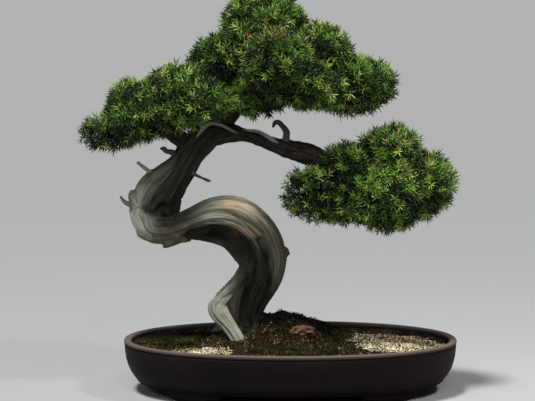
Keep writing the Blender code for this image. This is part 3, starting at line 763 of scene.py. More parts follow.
def soil_height(x, y):
    """The same mound as the CAD soil, with crumbs and hollows on it."""
    mound = MOUND_HEIGHT * bell(x, y, 0.030, 0.055, 0.075, 0.060)
    shoulder = 0.011 * bell(x, y, -0.030, 0.005, 0.120, 0.100)
    flat = np.stack([x, y, np.zeros_like(x)], axis=-1)
    lumps = 0.0028 * lattice_noise(flat * 34, 21) + 0.0016 * lattice_noise(flat * 90, 22)
    lumps = lumps + 0.0008 * lattice_noise(flat * 240, 23)
    high = (mound + shoulder) / MOUND_HEIGHT
    return SOIL_EDGE_LEVEL + mound + shoulder + lumps * (0.55 + 2.4 * high)


def make_soil():
    edge = pot_ring(SOIL_EDGE_LEVEL - 0.006, WALL_THICKNESS + WALL_GAP)
    rings = [pot_ring(SOIL_BOTTOM, WALL_THICKNESS + 0.007)]
    rings += [pot_ring(SOIL_BOTTOM + 0.010, WALL_THICKNESS + WALL_GAP * 2), edge]
    for share in np.linspace(1.0, 0.015, 90):
        x = edge[:, 0] * share + MOUND_MIDDLE[0] * (1 - share)
        y = edge[:, 1] * share + MOUND_MIDDLE[1] * (1 - share)
        rings.append(np.stack([x, y, soil_height(x, y)], axis=1))
    shown(placed("soil_visual", lofted("soil", rings)), "soil", ["soil"], 60)


def patch_mesh(x, y, half_x, half_y, turn, rows=26, sides=64):
    """A patch of the soil's own surface, with a cover that fades out at its ragged edge."""
    cos, sin = math.cos(math.radians(turn)), math.sin(math.radians(turn))
    angles = np.linspace(0, 2 * np.pi, sides, endpoint=False)
    limit_x, limit_y = POT_LENGTH / 2 - COVER_MARGIN, POT_DEPTH / 2 - COVER_MARGIN
    rings, covers = [], []
    for share in np.linspace(1.0, 0.02, rows):
        across = half_x * share * np.cos(angles)
        along = half_y * share * np.sin(angles)
        at_x = x + across * cos - along * sin
        at_y = y + across * sin + along * cos
        reach = ((at_x - POT_X) / limit_x) ** 2 + (at_y / limit_y) ** 2
        flat = np.stack([at_x, at_y, np.zeros_like(at_x)], axis=1)
        ragged = (0.22 + 0.95 * min(1 - share, 0.35)) * layered_noise(flat * 42, 31)
        covers.append(np.clip((1 - share + ragged) * 2.6, 0, 1) * (reach < 0.985))
        rings.append(np.stack([at_x, at_y, soil_height(at_x, at_y)], axis=1))
    mesh = mesh_from("patch", rings, [*ring_faces(rows, sides), (rows - 1) * sides + np.arange(sides)])
    store(mesh, "cover", np.concatenate(covers))
    store(mesh, "patch", 0.5 + 0.30 * layered_noise(points_of(mesh) * 30, 37))
    return mesh


def grain_seed(kind):
    """One small shape that is scattered: a stone, a sprig of moss or a fallen needle."""
    bm = bmesh.new()
    rng = np.random.default_rng(SEED)
    if kind == "stone":
        bmesh.ops.create_icosphere(bm, subdivisions=1, radius=0.5)
        for vert in bm.verts:
            vert.co *= 0.78 + 0.3 * rng.random()
            vert.co.z *= 0.72
    elif kind == "sprig":
        for _ in range(5):
            blade(bm, rng, 0.11, 0.15, 0.85)
    else:
        blade(bm, rng, 0.06, 1.35, 1.5)
    return placed(f"seed_{kind}", from_bmesh(kind, bm))


def leaning(turn, tilt):
    """The direction that leans from straight up by tilt, towards turn."""
    return np.array([math.cos(turn) * math.sin(tilt), math.sin(turn) * math.sin(tilt), math.cos(tilt)])


def blade(bm, rng, width, least_tilt, most_tilt):
    axis = leaning(rng.uniform(0, 2 * np.pi), rng.uniform(least_tilt, most_tilt))
    side = unit(np.cross(axis, (0.0, 0.0, 1.0)) + 1e-6)
    over = np.cross(axis, side)
    base = [bm.verts.new(width * (side * math.cos(a) + over * math.sin(a))) for a in (0.0, 2.1, 4.2)]
    tip = bm.verts.new(axis * rng.uniform(0.7, 1.0))
    bm.faces.new(base)
    for i in range(3):
        bm.faces.new((base[(i + 1) % 3], base[i], tip))
    bmesh.ops.recalc_face_normals(bm, faces=bm.faces)


SCATTER_INPUTS = {"Geometry": "Geometry", "Seeds": "Collection", "Finish": "Material", "Seed": "Int"}
for label in (
    "Spacing", "Density", "Smallest", "Largest", "Sink", "Lean", "Lift", "Tone Spread", "Depth Shade"
):
    SCATTER_INPUTS[label] = "Float"


def scatter_tree(name, poisson):
    """Spreads seeds over a skin. The skin's cover thins them out, and its patch sets their tone."""
    tree = bpy.data.node_groups.new(name, "GeometryNodeTree")
    for label, kind in SCATTER_INPUTS.items():
        tree.interface.new_socket(label, in_out="INPUT", socket_type=f"NodeSocket{kind}")
    tree.interface.new_socket("Geometry", in_out="OUTPUT", socket_type="NodeSocketGeometry")
    n = Nodes(tree)
    given = tree.nodes.new("NodeGroupInput")
    inlet = {label: Socket(tree, given.outputs[label]) for label in SCATTER_INPUTS}

    def stored(label):
        return n.add("GeometryNodeInputNamedAttribute", {"data_type": "FLOAT"}, {"Name": label})

    def random(low, high, salt, kind="FLOAT"):
        first, output = (2, 1) if kind == "FLOAT" else (0, 0)
        inputs = {first: low, first + 1: high, "Seed": inlet["Seed"] + float(salt)}
        return n.add("FunctionNodeRandomValue", {"data_type": kind}, inputs, output)

    inputs = {"Mesh": inlet["Geometry"], "Seed": inlet["Seed"]}
    if poisson:
        inputs |= {"Distance Min": inlet["Spacing"], "Density Max": inlet["Density"]}
        inputs["Density Factor"] = stored("cover")
    else:
        inputs["Density"] = stored("cover") * inlet["Density"]
    method = {"distribute_method": "POISSON" if poisson else "RANDOM"}
    points = n.add("GeometryNodeDistributePointsOnFaces", method, inputs, "Points")
    normal = Socket(tree, points.link.node.outputs["Normal"])

    sunk = random(0.0, 1.0, 3)
    sunk = sunk * sunk
    tone = stored("patch") + random(-0.5, 0.5, 5) * inlet["Tone Spread"] - sunk * inlet["Depth Shade"]
    points = n.add(
        "GeometryNodeStoreNamedAttribute",
        {"data_type": "FLOAT", "domain": "POINT"},
        {"Geometry": points, "Name": "tone", "Value": tone.clamp()},
    )
    down = n.vector("SCALE", normal, sunk * inlet["Sink"] * -1.0)
    points = n.add("GeometryNodeSetPosition", inputs={"Geometry": points, "Offset": down})

    stray = random((-1.0, -1.0, -1.0), (1.0, 1.0, 1.0), 7, "FLOAT_VECTOR")
    lift = n.add("ShaderNodeCombineXYZ", inputs={"Z": inlet["Lift"]})
    axis = n.vector("ADD", n.vector("ADD", normal, n.vector("SCALE", stray, inlet["Lean"])), lift)
    upright = n.add("FunctionNodeAlignRotationToVector", {"axis": "Z"}, {"Vector": axis})
    angle = random(0.0, 6.283, 9)
    spin = n.add("FunctionNodeAxisAngleToRotation", inputs={"Axis": (0, 0, 1), "Angle": angle})
    turns = {"Rotation": upright, "Rotate By": spin}
    laid = {
        "Points": points,
        "Instance": n.add(
            "GeometryNodeCollectionInfo",
            inputs={"Collection": inlet["Seeds"], "Separate Children": True, "Reset Children": True},
        ),
        "Pick Instance": True,
        "Rotation": n.add("FunctionNodeRotateRotation", {"rotation_space": "LOCAL"}, turns),
        "Scale": random(inlet["Smallest"], inlet["Largest"], 11),
    }
    seeded = n.add("GeometryNodeInstanceOnPoints", inputs=laid)
    real = n.add("GeometryNodeRealizeInstances", inputs={"Geometry": seeded})
    coated = n.add("GeometryNodeSetMaterial", inputs={"Geometry": real, "Material": inlet["Finish"]})
    plug(tree, tree.nodes.new("NodeGroupOutput").inputs[0], coated)
    return tree


def scattered(name, skin, tree, seeds, material, **settings):
    """The tree's result over the skin, as a plain mesh in a new object."""
    holder = placed("skin", skin)
    layer = holder.modifiers.new("scatter", "NODES")
    layer.node_group = tree
    values = {key.replace("_", " ").title(): value for key, value in settings.items()}
    values |= {"Seeds": seeds, "Finish": FINISHES[material]}
    for item in tree.interface.items_tree:
        if item.item_type == "SOCKET" and item.in_out == "INPUT" and item.name in values:
            layer[item.identifier] = values[item.name]
    return applied(holder, name)


def seed_collection(name, objects):
    collection = bpy.data.collections.new(name)
    for obj in objects:
        collection.objects.link(obj)
    return collection


COVERS = (
    # node, x, y, half_x, half_y, turn, what lies there
    ("grit_right", 0.212, -0.014, 0.080, 0.116, 14, "grit"),
    ("grit_front_left", -0.098, -0.110, 0.062, 0.032, -14, "grit"),
    ("moss_left", -0.150, -0.020, 0.050, 0.052, 20, "moss"),
    ("moss_back_left", -0.085, 0.118, 0.062, 0.030, 10, "moss"),
    ("moss_front", 0.045, -0.112, 0.076, 0.046, -4, "moss"),
    ("moss_right", 0.113, 0.030, 0.032, 0.062, -8, "moss"),
    ("moss_mound", 0.036, 0.118, 0.056, 0.030, -6, "moss"),
)
COVER_GRAINS = {
    # seed shape, smallest, largest, how many to the square metre
    "grit": ("stone", 0.0018, 0.0044, 300000.0),
    "moss": ("sprig", 0.0030, 0.0068, 330000.0),
}
LITTER = (
    # piece, seed shape, finish, slot, smallest, largest, how many to the square metre, lean
    ("soil_crumbs", "stone", "crumbs", "soil", 0.0016, 0.0050, 62000.0, 0.9),
    ("scattered_grit", "stone", "grit", "grit", 0.0014, 0.0034, 6000.0, 0.9),
    ("scattered_moss", "sprig", "moss", "moss", 0.0025, 0.0060, 36000.0, 0.5),
    ("fallen_needles", "straw", "litter", "needles", 0.006, 0.013, 9000.0, 0.25),
)


def make_covers(loose):
    seeds = {kind: seed_collection(kind, [grain_seed(kind)]) for kind in ("stone", "sprig", "straw")}

    def lay(name, skin, shape, finish_name, slot, nodes, low, high, density, **settings):
        made = scattered(
            name, skin, loose, seeds[shape], finish_name,
            density=density, smallest=low, largest=high, depth_shade=0.0, **settings,
        )
        shown(made, finish_name, nodes)

    for i, (node, *where, kind) in enumerate(COVERS):
        shape, low, high, density = COVER_GRAINS[kind]
        lay(
            f"{node}_visual", patch_mesh(*where), shape, kind, kind, [node], low, high, density,
            sink=0.0006, lean=0.5, tone_spread=0.85, seed=40 + i,
        )
    everywhere = patch_mesh(POT_X, 0.0, POT_LENGTH / 2, POT_DEPTH / 2, 0, rows=60, sides=128)
    for name, shape, kind, slot, low, high, density, lean in LITTER:
        lay(
            name, everywhere.copy(), shape, kind, slot, [], low, high, density,
            sink=0.0005, lean=lean, tone_spread=0.9, seed=len(name),
        )


def make_lumps():
    """The red bark flake and the old root lump that lie on the soil."""
    for node, material in (("bark_flake", "flake"), ("root_lump", "soil")):
        low, high = (np.array(corner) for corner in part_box(node))
        mesh = ball(node, 5)
        away = unit(points_of(mesh))
        block = away / np.maximum(np.abs(away).max(axis=1, keepdims=True), 1e-6)
        rough = 1 + 0.20 * layered_noise(away * 2.4, 51) + 0.05 * layered_noise(away * (6, 6, 16), 52)
        shape = (0.62 * away + 0.38 * block) * rough[:, None]
        set_points(mesh, (low + high) / 2 + shape * (high - low) / 2 * 0.92)
        shown(placed(f"{node}_visual", mesh), material, [node], 50)


# ---- wood

# Limbs are lists of (x, y, z, radius), from the root end outwards, in millimetres.
TRUNK_LINE = in_metres([
    (-40, 36, 58, 38), (-40, 34, 92, 32), (-36, 32, 122, 27), (-23, 29, 153, 28), (-9, 24, 184, 34),
    (-7, 14, 219, 41), (-22, 4, 256, 43), (-52, -6, 284, 42), (-88, -14, 290, 35), (-123, -18, 280, 27),
    (-158, -16, 267, 24), (-189, -8, 268, 25), (-201, 3, 294, 31), (-187, 12, 319, 39),
    (-167, 16, 344, 36), (-144, 16, 369, 28), (-129, 14, 393, 26), (-101, 12, 424, 27), (-71, 14, 452, 23),
    (-43, 18, 488, 18), (-18, 20, 540, 12), (-6, 14, 592, 6),
])
# Cords of wood that run along the trunk and stand out of it: first and last trunk point, the angle at
# each (degrees from the front, positive towards the outside of the first bend), how far out the cord's
# middle lies and how thick it is, as shares of the trunk's radius.
CORDS = (
    (0.0, 8.0, 74, 44, 0.50, 0.54),
    (5.0, 13.0, 44, 40, 0.46, 0.56),
    (4.6, 12.4, -14, -16, 0.56, 0.44),
    (0.0, 5.6, 24, 8, 0.62, 0.36),
    (0.0, 6.4, -22, -34, 0.60, 0.36),
    (0.0, 6.0, -64, -62, 0.58, 0.38),
    (8.0, 14.0, -72, -80, 0.44, 0.50),
    (12.0, 18.5, -52, -40, 0.52, 0.46),
    (12.0, 18.5, -8, 14, 0.60, 0.36),
    (12.6, 18.5, 34, 58, 0.56, 0.42),
    (0.0, 8.0, 152, 168, 0.54, 0.44),
    (0.0, 8.0, -142, -150, 0.54, 0.46),
    (0.0, 6.0, 110, 112, 0.56, 0.42),
    (6.0, 13.0, 172, 150, 0.50, 0.48),
    (7.0, 14.0, -120, -110, 0.50, 0.46),
    (12.0, 18.5, -150, 176, 0.52, 0.46),
    (12.0, 18.5, 122, 104, 0.52, 0.46),
)
BUTTRESSES = in_metres([
    [(-26, 36, 108, 22), (4, 44, 104, 13), (34, 54, 98, 8)],
    [(-50, 42, 104, 22), (-80, 52, 88, 12), (-102, 58, 72, 7)],
    [(-30, 22, 104, 18), (-20, 4, 90, 12), (-8, -16, 76, 7)],
    [(-36, 22, 192, 16), (-50, 12, 162, 16), (-55, 8, 130, 15), (-53, 6, 80, 16)],
    [(-30, 20, 206, 16), (-44, 10, 184, 13), (-62, 0, 168, 10), (-78, -6, 155, 8), (-88, -8, 147, 4)],
    [(-138, -18, 266, 22), (-154, -19, 256, 16), (-171, -20, 238, 3)],
    [(-176, -14, 260, 18), (-196, -12, 258, 12), (-214, -6, 262, 7)],
    [(-206, 0, 300, 22), (-222, -2, 320, 10), (-224, -2, 330, 4)],
    [(20, 10, 226, 16), (33, 8, 227, 7)],
    [(-180, 6, 344, 17), (-191, 4, 357, 10), (-197, 3, 361, 4)],
    [(-128, 2, 264, 14), (-92, 4, 260, 17), (-64, 6, 252, 19), (-46, 10, 234, 19), (-36, 12, 210, 14)],
    [(-164, 10, 290, 16), (-160, 10, 318, 18), (-146, 12, 352, 18), (-130, 12, 382, 14)],
])
SLAB = in_metres([
    (-64, -2, 160, 8), (-78, -10, 147, 12), (-83, -14, 137, 16.5), (-78, -19, 126, 16),
    (-68, -24, 114, 13), (-58, -30, 101, 11.5), (-49, -36, 88, 10.8), (-46, -38, 82, 9.5),
])
RIGHT_BRANCH = in_metres([
    [
        (-96, 6, 424, 21), (-58, 0, 425.5, 15), (-36, -3, 422, 11), (-14, -4, 415.5, 10.5),
        (12, -6, 407, 12.5), (36, -5, 400, 15.5), (60, -4, 393.5, 17.5), (83, -3, 385.5, 16.5),
        (106, -2, 377, 13.5), (150, 0, 366, 10), (200, 2, 352, 8), (246, 2, 342, 5),
    ],
    [(110, -2, 380, 9), (126, -10, 348, 7), (98, -14, 318, 5)],
    [(160, 0, 364, 8), (186, -20, 340, 6), (196, -34, 316, 4)],
    [(150, 0, 366, 8), (178, 22, 348, 6), (196, 44, 334, 4)],
    [(160, 0, 364, 8), (184, 4, 378, 6), (202, 2, 394, 4)],
])
LEFT_BRANCH = in_metres([
    [
        (-130, 8, 404, 16), (-156, 0, 424, 13), (-184, -8, 438, 10), (-218, -10, 440, 8),
        (-252, -6, 430, 6), (-280, -2, 422, 4),
    ],
    [(-160, 0, 427, 9), (-160, -18, 456, 6), (-162, -30, 480, 4)],
    [(-178, -6, 436, 8), (-184, 22, 446, 6), (-196, 48, 452, 4)],
])
CROWN_BRANCHES = in_metres({
    "crown_branch_left": [(-50, 16, 476, 12), (-70, 4, 504, 9), (-88, -6, 534, 5)],
    "crown_branch_right": [
        (-30, 18, 510, 12), (20, 12, 520, 10), (70, 4, 520, 8), (120, 0, 512, 6), (156, 0, 510, 4),
    ],
    "crown_branch_front": [(-26, 14, 524, 10), (-6, -24, 524, 8), (14, -66, 524, 4)],
    "crown_branch_back": [(-30, 26, 516, 10), (-12, 56, 522, 8), (8, 86, 530, 4)],
})
DEAD_STUBS = in_metres({
    "jin_elbow": [
        (-218, -4, 300, 6.5), (-226, -7, 307, 4.6), (-236, -9, 312, 3.2), (-243.5, -10, 321.5, 1.4),
    ],
    "jin_upper_left": [
        (-182, 4, 352, 6), (-194, 1, 361, 3.6), (-206, -1, 370, 2.8), (-215.5, -2, 377.5, 2.2),
    ],
    "jin_left": [
        (-142, 8, 384, 8), (-158, 5, 393.5, 5), (-168, 3, 396, 3.6), (-172, 2, 400, 4),
        (-177.5, 2, 400.5, 1.6),
    ],
    "jin_right": [
        (-132, 12, 362, 5), (-120, 8, 356, 2.8), (-108, 6, 350.5, 1.9), (-101, 4, 347.5, 2.6),
        (-95, 4, 345.5, 1.4),
    ],
    "jin_hook": [
        (30, -6, 404, 10), (31, -8, 418, 5.8), (31.5, -8, 428, 5.4), (25, -8, 437.5, 4.4),
        (18.5, -8, 444, 4), (12, -8, 443, 3.6), (9, -8, 436, 1.8),
    ],
})
STUB_DARKNESS = {
    "jin_elbow": 0.45,
    "jin_upper_left": 0.1,
    "jin_left": 0.8,
    "jin_right": 0.75,
    "jin_hook": 0.85,
}
DEAD_STRIPS = in_metres({
    "dead_strip_arch": [
        (-117, -10, 418, 1.2), (-110, -14, 429, 2.6), (-103, -17, 436.5, 3.2), (-91.5, -18, 442, 2.7),
        (-75, -16, 438.5, 2.6), (-60, -15, 431, 2), (-49, -14, 425, 0.9),
    ],
    "dead_strip_branch": [
        (-62, -10, 426, 0.7), (-48, -11, 428.5, 2), (-34, -10, 430, 2.6), (-18, -10, 429, 2.7),
        (-4, -13, 423, 3.2), (9, -16, 415, 3.2), (20, -17, 408, 1),
    ],
})
# Long grooves on the front of the trunk, in millimetres: (x, z) points, half width and depth.
GROOVES = in_metres((
    ([(-172, 276), (-140, 283), (-106, 296), (-68, 297), (-30, 280), (-8, 262)], 3.6, 2.6),
    ([(-150, 262), (-120, 270), (-90, 281), (-58, 282), (-26, 266), (-10, 248)], 3, 2.2),
    ([(-12, 250), (-2, 228), (4, 204), (4, 180), (-2, 152), (-14, 120)], 4.8, 7.5),
    ([(-132, 252), (-106, 259), (-80, 261), (-54, 254), (-38, 238), (-32, 214)], 12, 13),
    ([(-20, 205), (-27, 175), (-38, 145), (-44, 108)], 5, 8),
    ([(-14, 160), (-24, 130), (-30, 100)], 6.5, 11),
    ([(-206, 304), (-196, 297), (-184, 297), (-172, 304)], 7, 10),
    ([(-196, 300), (-186, 318), (-172, 340), (-156, 364), (-144, 392)], 3.6, 5),
    ([(-176, 300), (-164, 322), (-150, 346), (-136, 376), (-120, 404)], 3.6, 5),
    ([(-158, 292), (-150, 316), (-136, 346), (-120, 376), (-104, 404)], 6, 7),
))
# Where painted shadow darkens the wood, in millimetres: (x, z) points and half width.
SHADOWED_STRETCHES = in_metres((
    ([(-118, 249), (-96, 254), (-72, 254), (-48, 244), (-34, 226)], 13),
    ([(-50, 244), (-28, 228), (-18, 204), (-20, 172), (-32, 140), (-40, 100)], 26),
    ([(-160, 298), (-150, 326), (-138, 356), (-124, 390), (-104, 424)], 39),
    ([(-14, 150), (-24, 100)], 24),
))
# The groove depth from which a groove's painted shade no longer grows.
GROOVE_SHADE_DEPTH = 0.010
WOOD_VOXEL = 0.0019
BRANCH_VOXEL = 0.0015
DEAD_VOXEL = 0.0009
DEAD_FIBRE = 0.0006


def trunk_cords():
    """The lines of the cords, as limbs of their own."""
    steps = 8
    line = smooth_line(TRUNK_LINE, steps)
    _, front, side = limb_frames(line)
    cords = []
    for first, last, angle_first, angle_last, out, thick in CORDS:
        rows = np.arange(int(first * steps), int(last * steps) + 1, 4)
        share = (rows - rows[0]) / (rows[-1] - rows[0])
        angle = np.radians(angle_first + (angle_last - angle_first) * share)
        fade = np.clip(np.minimum(share * 6 + 0.5, (1 - share) * 6 + 0.35), 0, 1)
        if first == 0.0:
            fade = np.clip((1 - share) * 6 + 0.35, 0, 1)
        reach = line[rows, 3] * out * (0.6 + 0.4 * fade)
        middle = line[rows, :3] + reach[:, None] * (
            np.cos(angle)[:, None] * front[rows] + np.sin(angle)[:, None] * side[rows]
        )
        cords.append(np.column_stack([middle, line[rows, 3] * thick * fade]))
    return cords


def segment_distance(points, line):
    """Distance of each point to a chain of points, in as many dimensions as they have."""
    best = np.full(len(points), 1e9)
    for a, b in zip(line, line[1:]):
        t = np.clip(((points - a) @ (b - a)) / ((b - a) @ (b - a)), 0, 1)
        best = np.minimum(best, np.linalg.norm(points - a - t[:, None] * (b - a), axis=1))
    return best


def stored_grain(points, limbs):
    """(grain vector, angle) of each point, from the limb whose own surface it is nearest to."""
    weights, grains = [], []
    for number, limb in enumerate(limbs):
        line = smooth_line(limb, 10)
        along, front, side = limb_frames(line)
        length = np.concatenate([[0], np.cumsum(np.linalg.norm(np.diff(line[:, :3], axis=0), axis=1))])
        gap = np.linalg.norm(points[:, None, :] - line[None, :, :3], axis=2)
        near = (gap / line[None, :, 3]).argmin(axis=1)
        away = points - line[near, :3]
        forward = (away * along[near]).sum(1)
        x = (away * front[near]).sum(1)
        y = (away * side[near]).sum(1)
        size = np.maximum(np.hypot(x, y), 1e-6)
        grains.append(np.stack([x / size, y / size, (length[near] + forward) * 30 + number * 5.3], axis=1))
        weights.append(np.exp(-5.0 * (gap[np.arange(len(points)), near] / line[near, 3] - 0.8)))
    weights = np.array(weights) ** 3
    weights /= weights.sum(0)
    return (weights[:, :, None] * np.array(grains)).sum(0)


def grown(name, meshes, voxel):
    """One closed skin round several overlapping limbs."""
    holder = placed("wood", joined("wood", meshes))
    remesh = holder.modifiers.new("grow", "REMESH")
    remesh.mode = "VOXEL"
    remesh.voxel_size = voxel
    relax = holder.modifiers.new("relax", "SMOOTH")
    relax.factor = 0.5
    relax.iterations = 3
    return applied(holder, name)


def weathered(obj, limbs, fibre, lump, grooves=()):
    """Cuts fibres, flutes and grooves into grown wood along its grain, and paints shade into the cracks and
    grooves; gives the points before the cuts.
    """
    mesh = obj.data
    points, normals = points_of(mesh), normals_of(mesh)
    grain = stored_grain(points, limbs)
    long_grain = grain * (1, 1, 0.16)
    ropes = layered_noise(long_grain * (2.2, 2.2, 1.0), 61, 3, 0.55)
    threads = layered_noise(long_grain * (7.0, 7.0, 1.6) + 5, 71, 3, 0.6)
    cracks = np.clip(0.16 - np.abs(lattice_noise(long_grain * (3.4, 3.4, 1.1) + 9, 81)), 0, 1) / 0.16
    push = lump * ropes + fibre * threads - fibre * 1.6 * cracks
    # Painted shade in the cracks and the grooves, stronger in deeper grooves.
    hollow = 0.55 * cracks
    for line, half_width, depth in grooves:
        flat = smooth_line(line, 6)
        share = segment_distance(points[:, [0, 2]], flat) / half_width
        cut = np.exp(-(share**2)) * np.clip((-normals[:, 1] + 0.15) * 2.2, 0, 1)
        push -= depth * cut
        hollow = np.maximum(hollow, min(0.75, depth / GROOVE_SHADE_DEPTH) * cut**1.5)
    set_points(mesh, points + normals * push[:, None])
    store(mesh, "grain", grain)
    store(mesh, "hollow", np.clip(hollow, 0, 1))
    return points


def soft_spot(points, x, z, half_x, half_z, y_less=None):
    """1 inside an ellipse seen from the front, 0 outside it; only where y is under y_less, if given."""
    near = np.clip(1.6 - 1.3 * np.hypot((points[:, 0] - x) / half_x, (points[:, 2] - z) / half_z), 0, 1)
    return near if y_less is None else near * np.clip((y_less - points[:, 1]) / 0.012, 0, 1)


def make_trunk():
    limbs = [TRUNK_LINE, *BUTTRESSES]
    core = [(x, y, z, radius * 0.87) for x, y, z, radius in TRUNK_LINE]
    meshes = [limb_mesh(core, 8, 36)]
    meshes += [limb_mesh(cord, 3, 20) for cord in trunk_cords()]
    meshes += [limb_mesh(limb, 6, 20) for limb in BUTTRESSES]
    trunk = grown("trunk_visual", meshes, WOOD_VOXEL)
    points = weathered(trunk, limbs, 0.0009, 0.0011, GROOVES)
    high = points[:, 2]
    patchy = layered_noise(points * 22, 91)
    bark = np.clip((high - 0.425) / 0.03, 0, 1)
    bark = np.maximum(bark, 0.6 * soft_spot(points, -0.100, 0.410, 0.040, 0.040))
    # Darker wood: random dark patches, painted shade on the upper trunk under the crown, and painted shadow
    # along the shadowed stretches.
    dark = np.clip(0.55 * layered_noise(points * 12, 97) - 0.1, 0, 0.6)
    dark = np.maximum(dark, 0.65 * np.clip((high - 0.345) / 0.03, 0, 1))
    dark = np.maximum(dark, 0.24 * soft_spot(points, 0.014, 0.228, 0.018, 0.058, 0.02))
    for line, half_width in SHADOWED_STRETCHES:
        share = segment_distance(points[:, [0, 2]], smooth_line(line, 4)) / half_width
        dark = np.maximum(dark, np.clip(1.7 - 1.25 * share + 0.35 * patchy, 0, 1))
    # Paler wood: a painted highlight on the elbow knob and the top of the limb, where the light falls, with
    # bleached patches at random and one pale spot low on the trunk.
    limb_top_highlight = np.clip((high - 0.262) / 0.03, 0, 1) * (points[:, 0] < -0.03) * (high < 0.34)
    pale = 0.9 * soft_spot(points, -0.212, 0.292, 0.034, 0.044) + 0.22 * limb_top_highlight
    pale += 0.30 * np.clip(patchy, 0, 1) + 0.60 * soft_spot(points, -0.082, 0.154, 0.026, 0.022)
    # A painted pool of sunlight on the front of the arch's top; the darkening is cleared under it.
    tan = soft_spot(points, -0.050, 0.3105, 0.032, 0.019, 0.01)
    scar = soft_spot(points, -0.046, 0.262, 0.028, 0.013, 0.01)
    dark *= 1 - scar
    covers = {"bark": bark, "scar": scar, "dark": dark * (1 - tan), "pale": pale * (1 - dark), "tan": tan}
    for label, cover in covers.items():
        store(trunk.data, label, np.clip(cover, 0, 1))
    shown(trunk, "trunk", ["trunk"], 70)


def make_branch(node, limbs):
    made = grown(f"{node}_visual", [limb_mesh(limb, 6, 18) for limb in limbs], BRANCH_VOXEL)
    points = weathered(made, limbs, 0.0007, 0.0012)
    mesh = made.data
    knots = layered_noise(points * 75, 95)
    set_points(mesh, points_of(mesh) + normals_of(mesh) * (0.0014 * knots)[:, None])
    store(mesh, "bark", np.ones(len(points)))
    for label in ("pale", "tan", "dark", "scar"):
        store(mesh, label, np.zeros(len(points)))
    shown(made, "trunk", [node], 70)


def make_dead(name, limb, nodes, flat=1.0, dark=0.0):
    made = grown(name, [limb_mesh(limb, 8, 18, flat)], DEAD_VOXEL)
    points = weathered(made, [limb], DEAD_FIBRE, DEAD_FIBRE * 1.4)
    store(made.data, "bark", np.full(len(points), dark))
    shown(made, "dead", nodes, 60)


def make_wood():
    make_trunk()
    make_branch("right_branch", RIGHT_BRANCH)
    make_branch("left_branch", LEFT_BRANCH)
    for node, line in CROWN_BRANCHES.items():
        make_branch(node, [line])
    for node, line in DEAD_STUBS.items():
        make_dead(f"{node}_visual", line, [node], dark=STUB_DARKNESS[node])
    for name, line in DEAD_STRIPS.items():
        make_dead(name, line, [], flat=0.7)
    make_dead("dead_root", SLAB, [], flat=0.55, dark=0.2)


# ---- foliage

# Each clump's centre and half sizes, in millimetres.
CLUMPS = in_metres({
    "foliage_left_tip": ((-262, -4, 425), (58, 56, 42)),
    "foliage_left_outer": ((-209, -36, 462), (65, 66, 58)),
    "foliage_left_outer_back": ((-200, 56, 458), (66, 60, 52)),
    "foliage_left_inner": ((-150, -42, 484), (68, 66, 60)),
    "foliage_left_inner_back": ((-146, 58, 480), (68, 62, 54)),
    "foliage_left_front": ((-106, -60, 480), (54, 54, 43)),
    "foliage_crown_apex": ((-3, 0, 593), (83, 86, 68)),
    "foliage_crown_left": ((-74, 0, 541), (64, 80, 58)),
    "foliage_crown_low_left": ((-16, -46, 486), (52, 50, 44)),
    "foliage_crown_front": ((20, -82, 530), (70, 62, 66)),
    "foliage_crown_back": ((-4, 88, 532), (90, 68, 74)),
    "foliage_crown_upper_right": ((82, -10, 554), (68, 84, 58)),
    "foliage_crown_right": ((143, 0, 504), (76, 90, 55)),
    "foliage_crown_low_right": ((72, -60, 502), (66, 62, 44)),
    "foliage_crown_back_right": ((84, 80, 518), (80, 62, 60)),
    "foliage_right_top": ((204, 0, 388), (66, 76, 61)),
    "foliage_right_outer": ((253, 0, 343), (65, 84, 63)),
    "foliage_right_front": ((196, -52, 320), (72, 64, 64)),
    "foliage_right_back": ((194, 62, 326), (74, 64, 60)),
    "foliage_right_middle": ((132, -14, 322), (60, 76, 54)),
    "foliage_right_low": ((82, -14, 325), (68, 68, 58)),
    "foliage_right_upper": ((134, -8, 378), (52, 64, 41)),
})
STEM_LENGTH = 0.0185
NEEDLE_LENGTH = (0.0100, 0.0145)
WHORL_HEIGHTS = (0.0008, 0.0050, 0.0092)
SHOOT_REACH = 0.014  # how far a shoot stands out of the skin it grows on
LOBE_SPACING = 0.033
LOBE_HEIGHT = 0.019
SHADE_CORE_DEPTH = 0.017  # how far inside the skin the dark core of painted shade lies
GOLDEN_ANGLE = 2.39996
# The thin, feathery clumps, and how full each one is.
FEATHERY = {"foliage_right_low": 0.48, "foliage_left_tip": 0.60, "foliage_right_middle": 0.75}


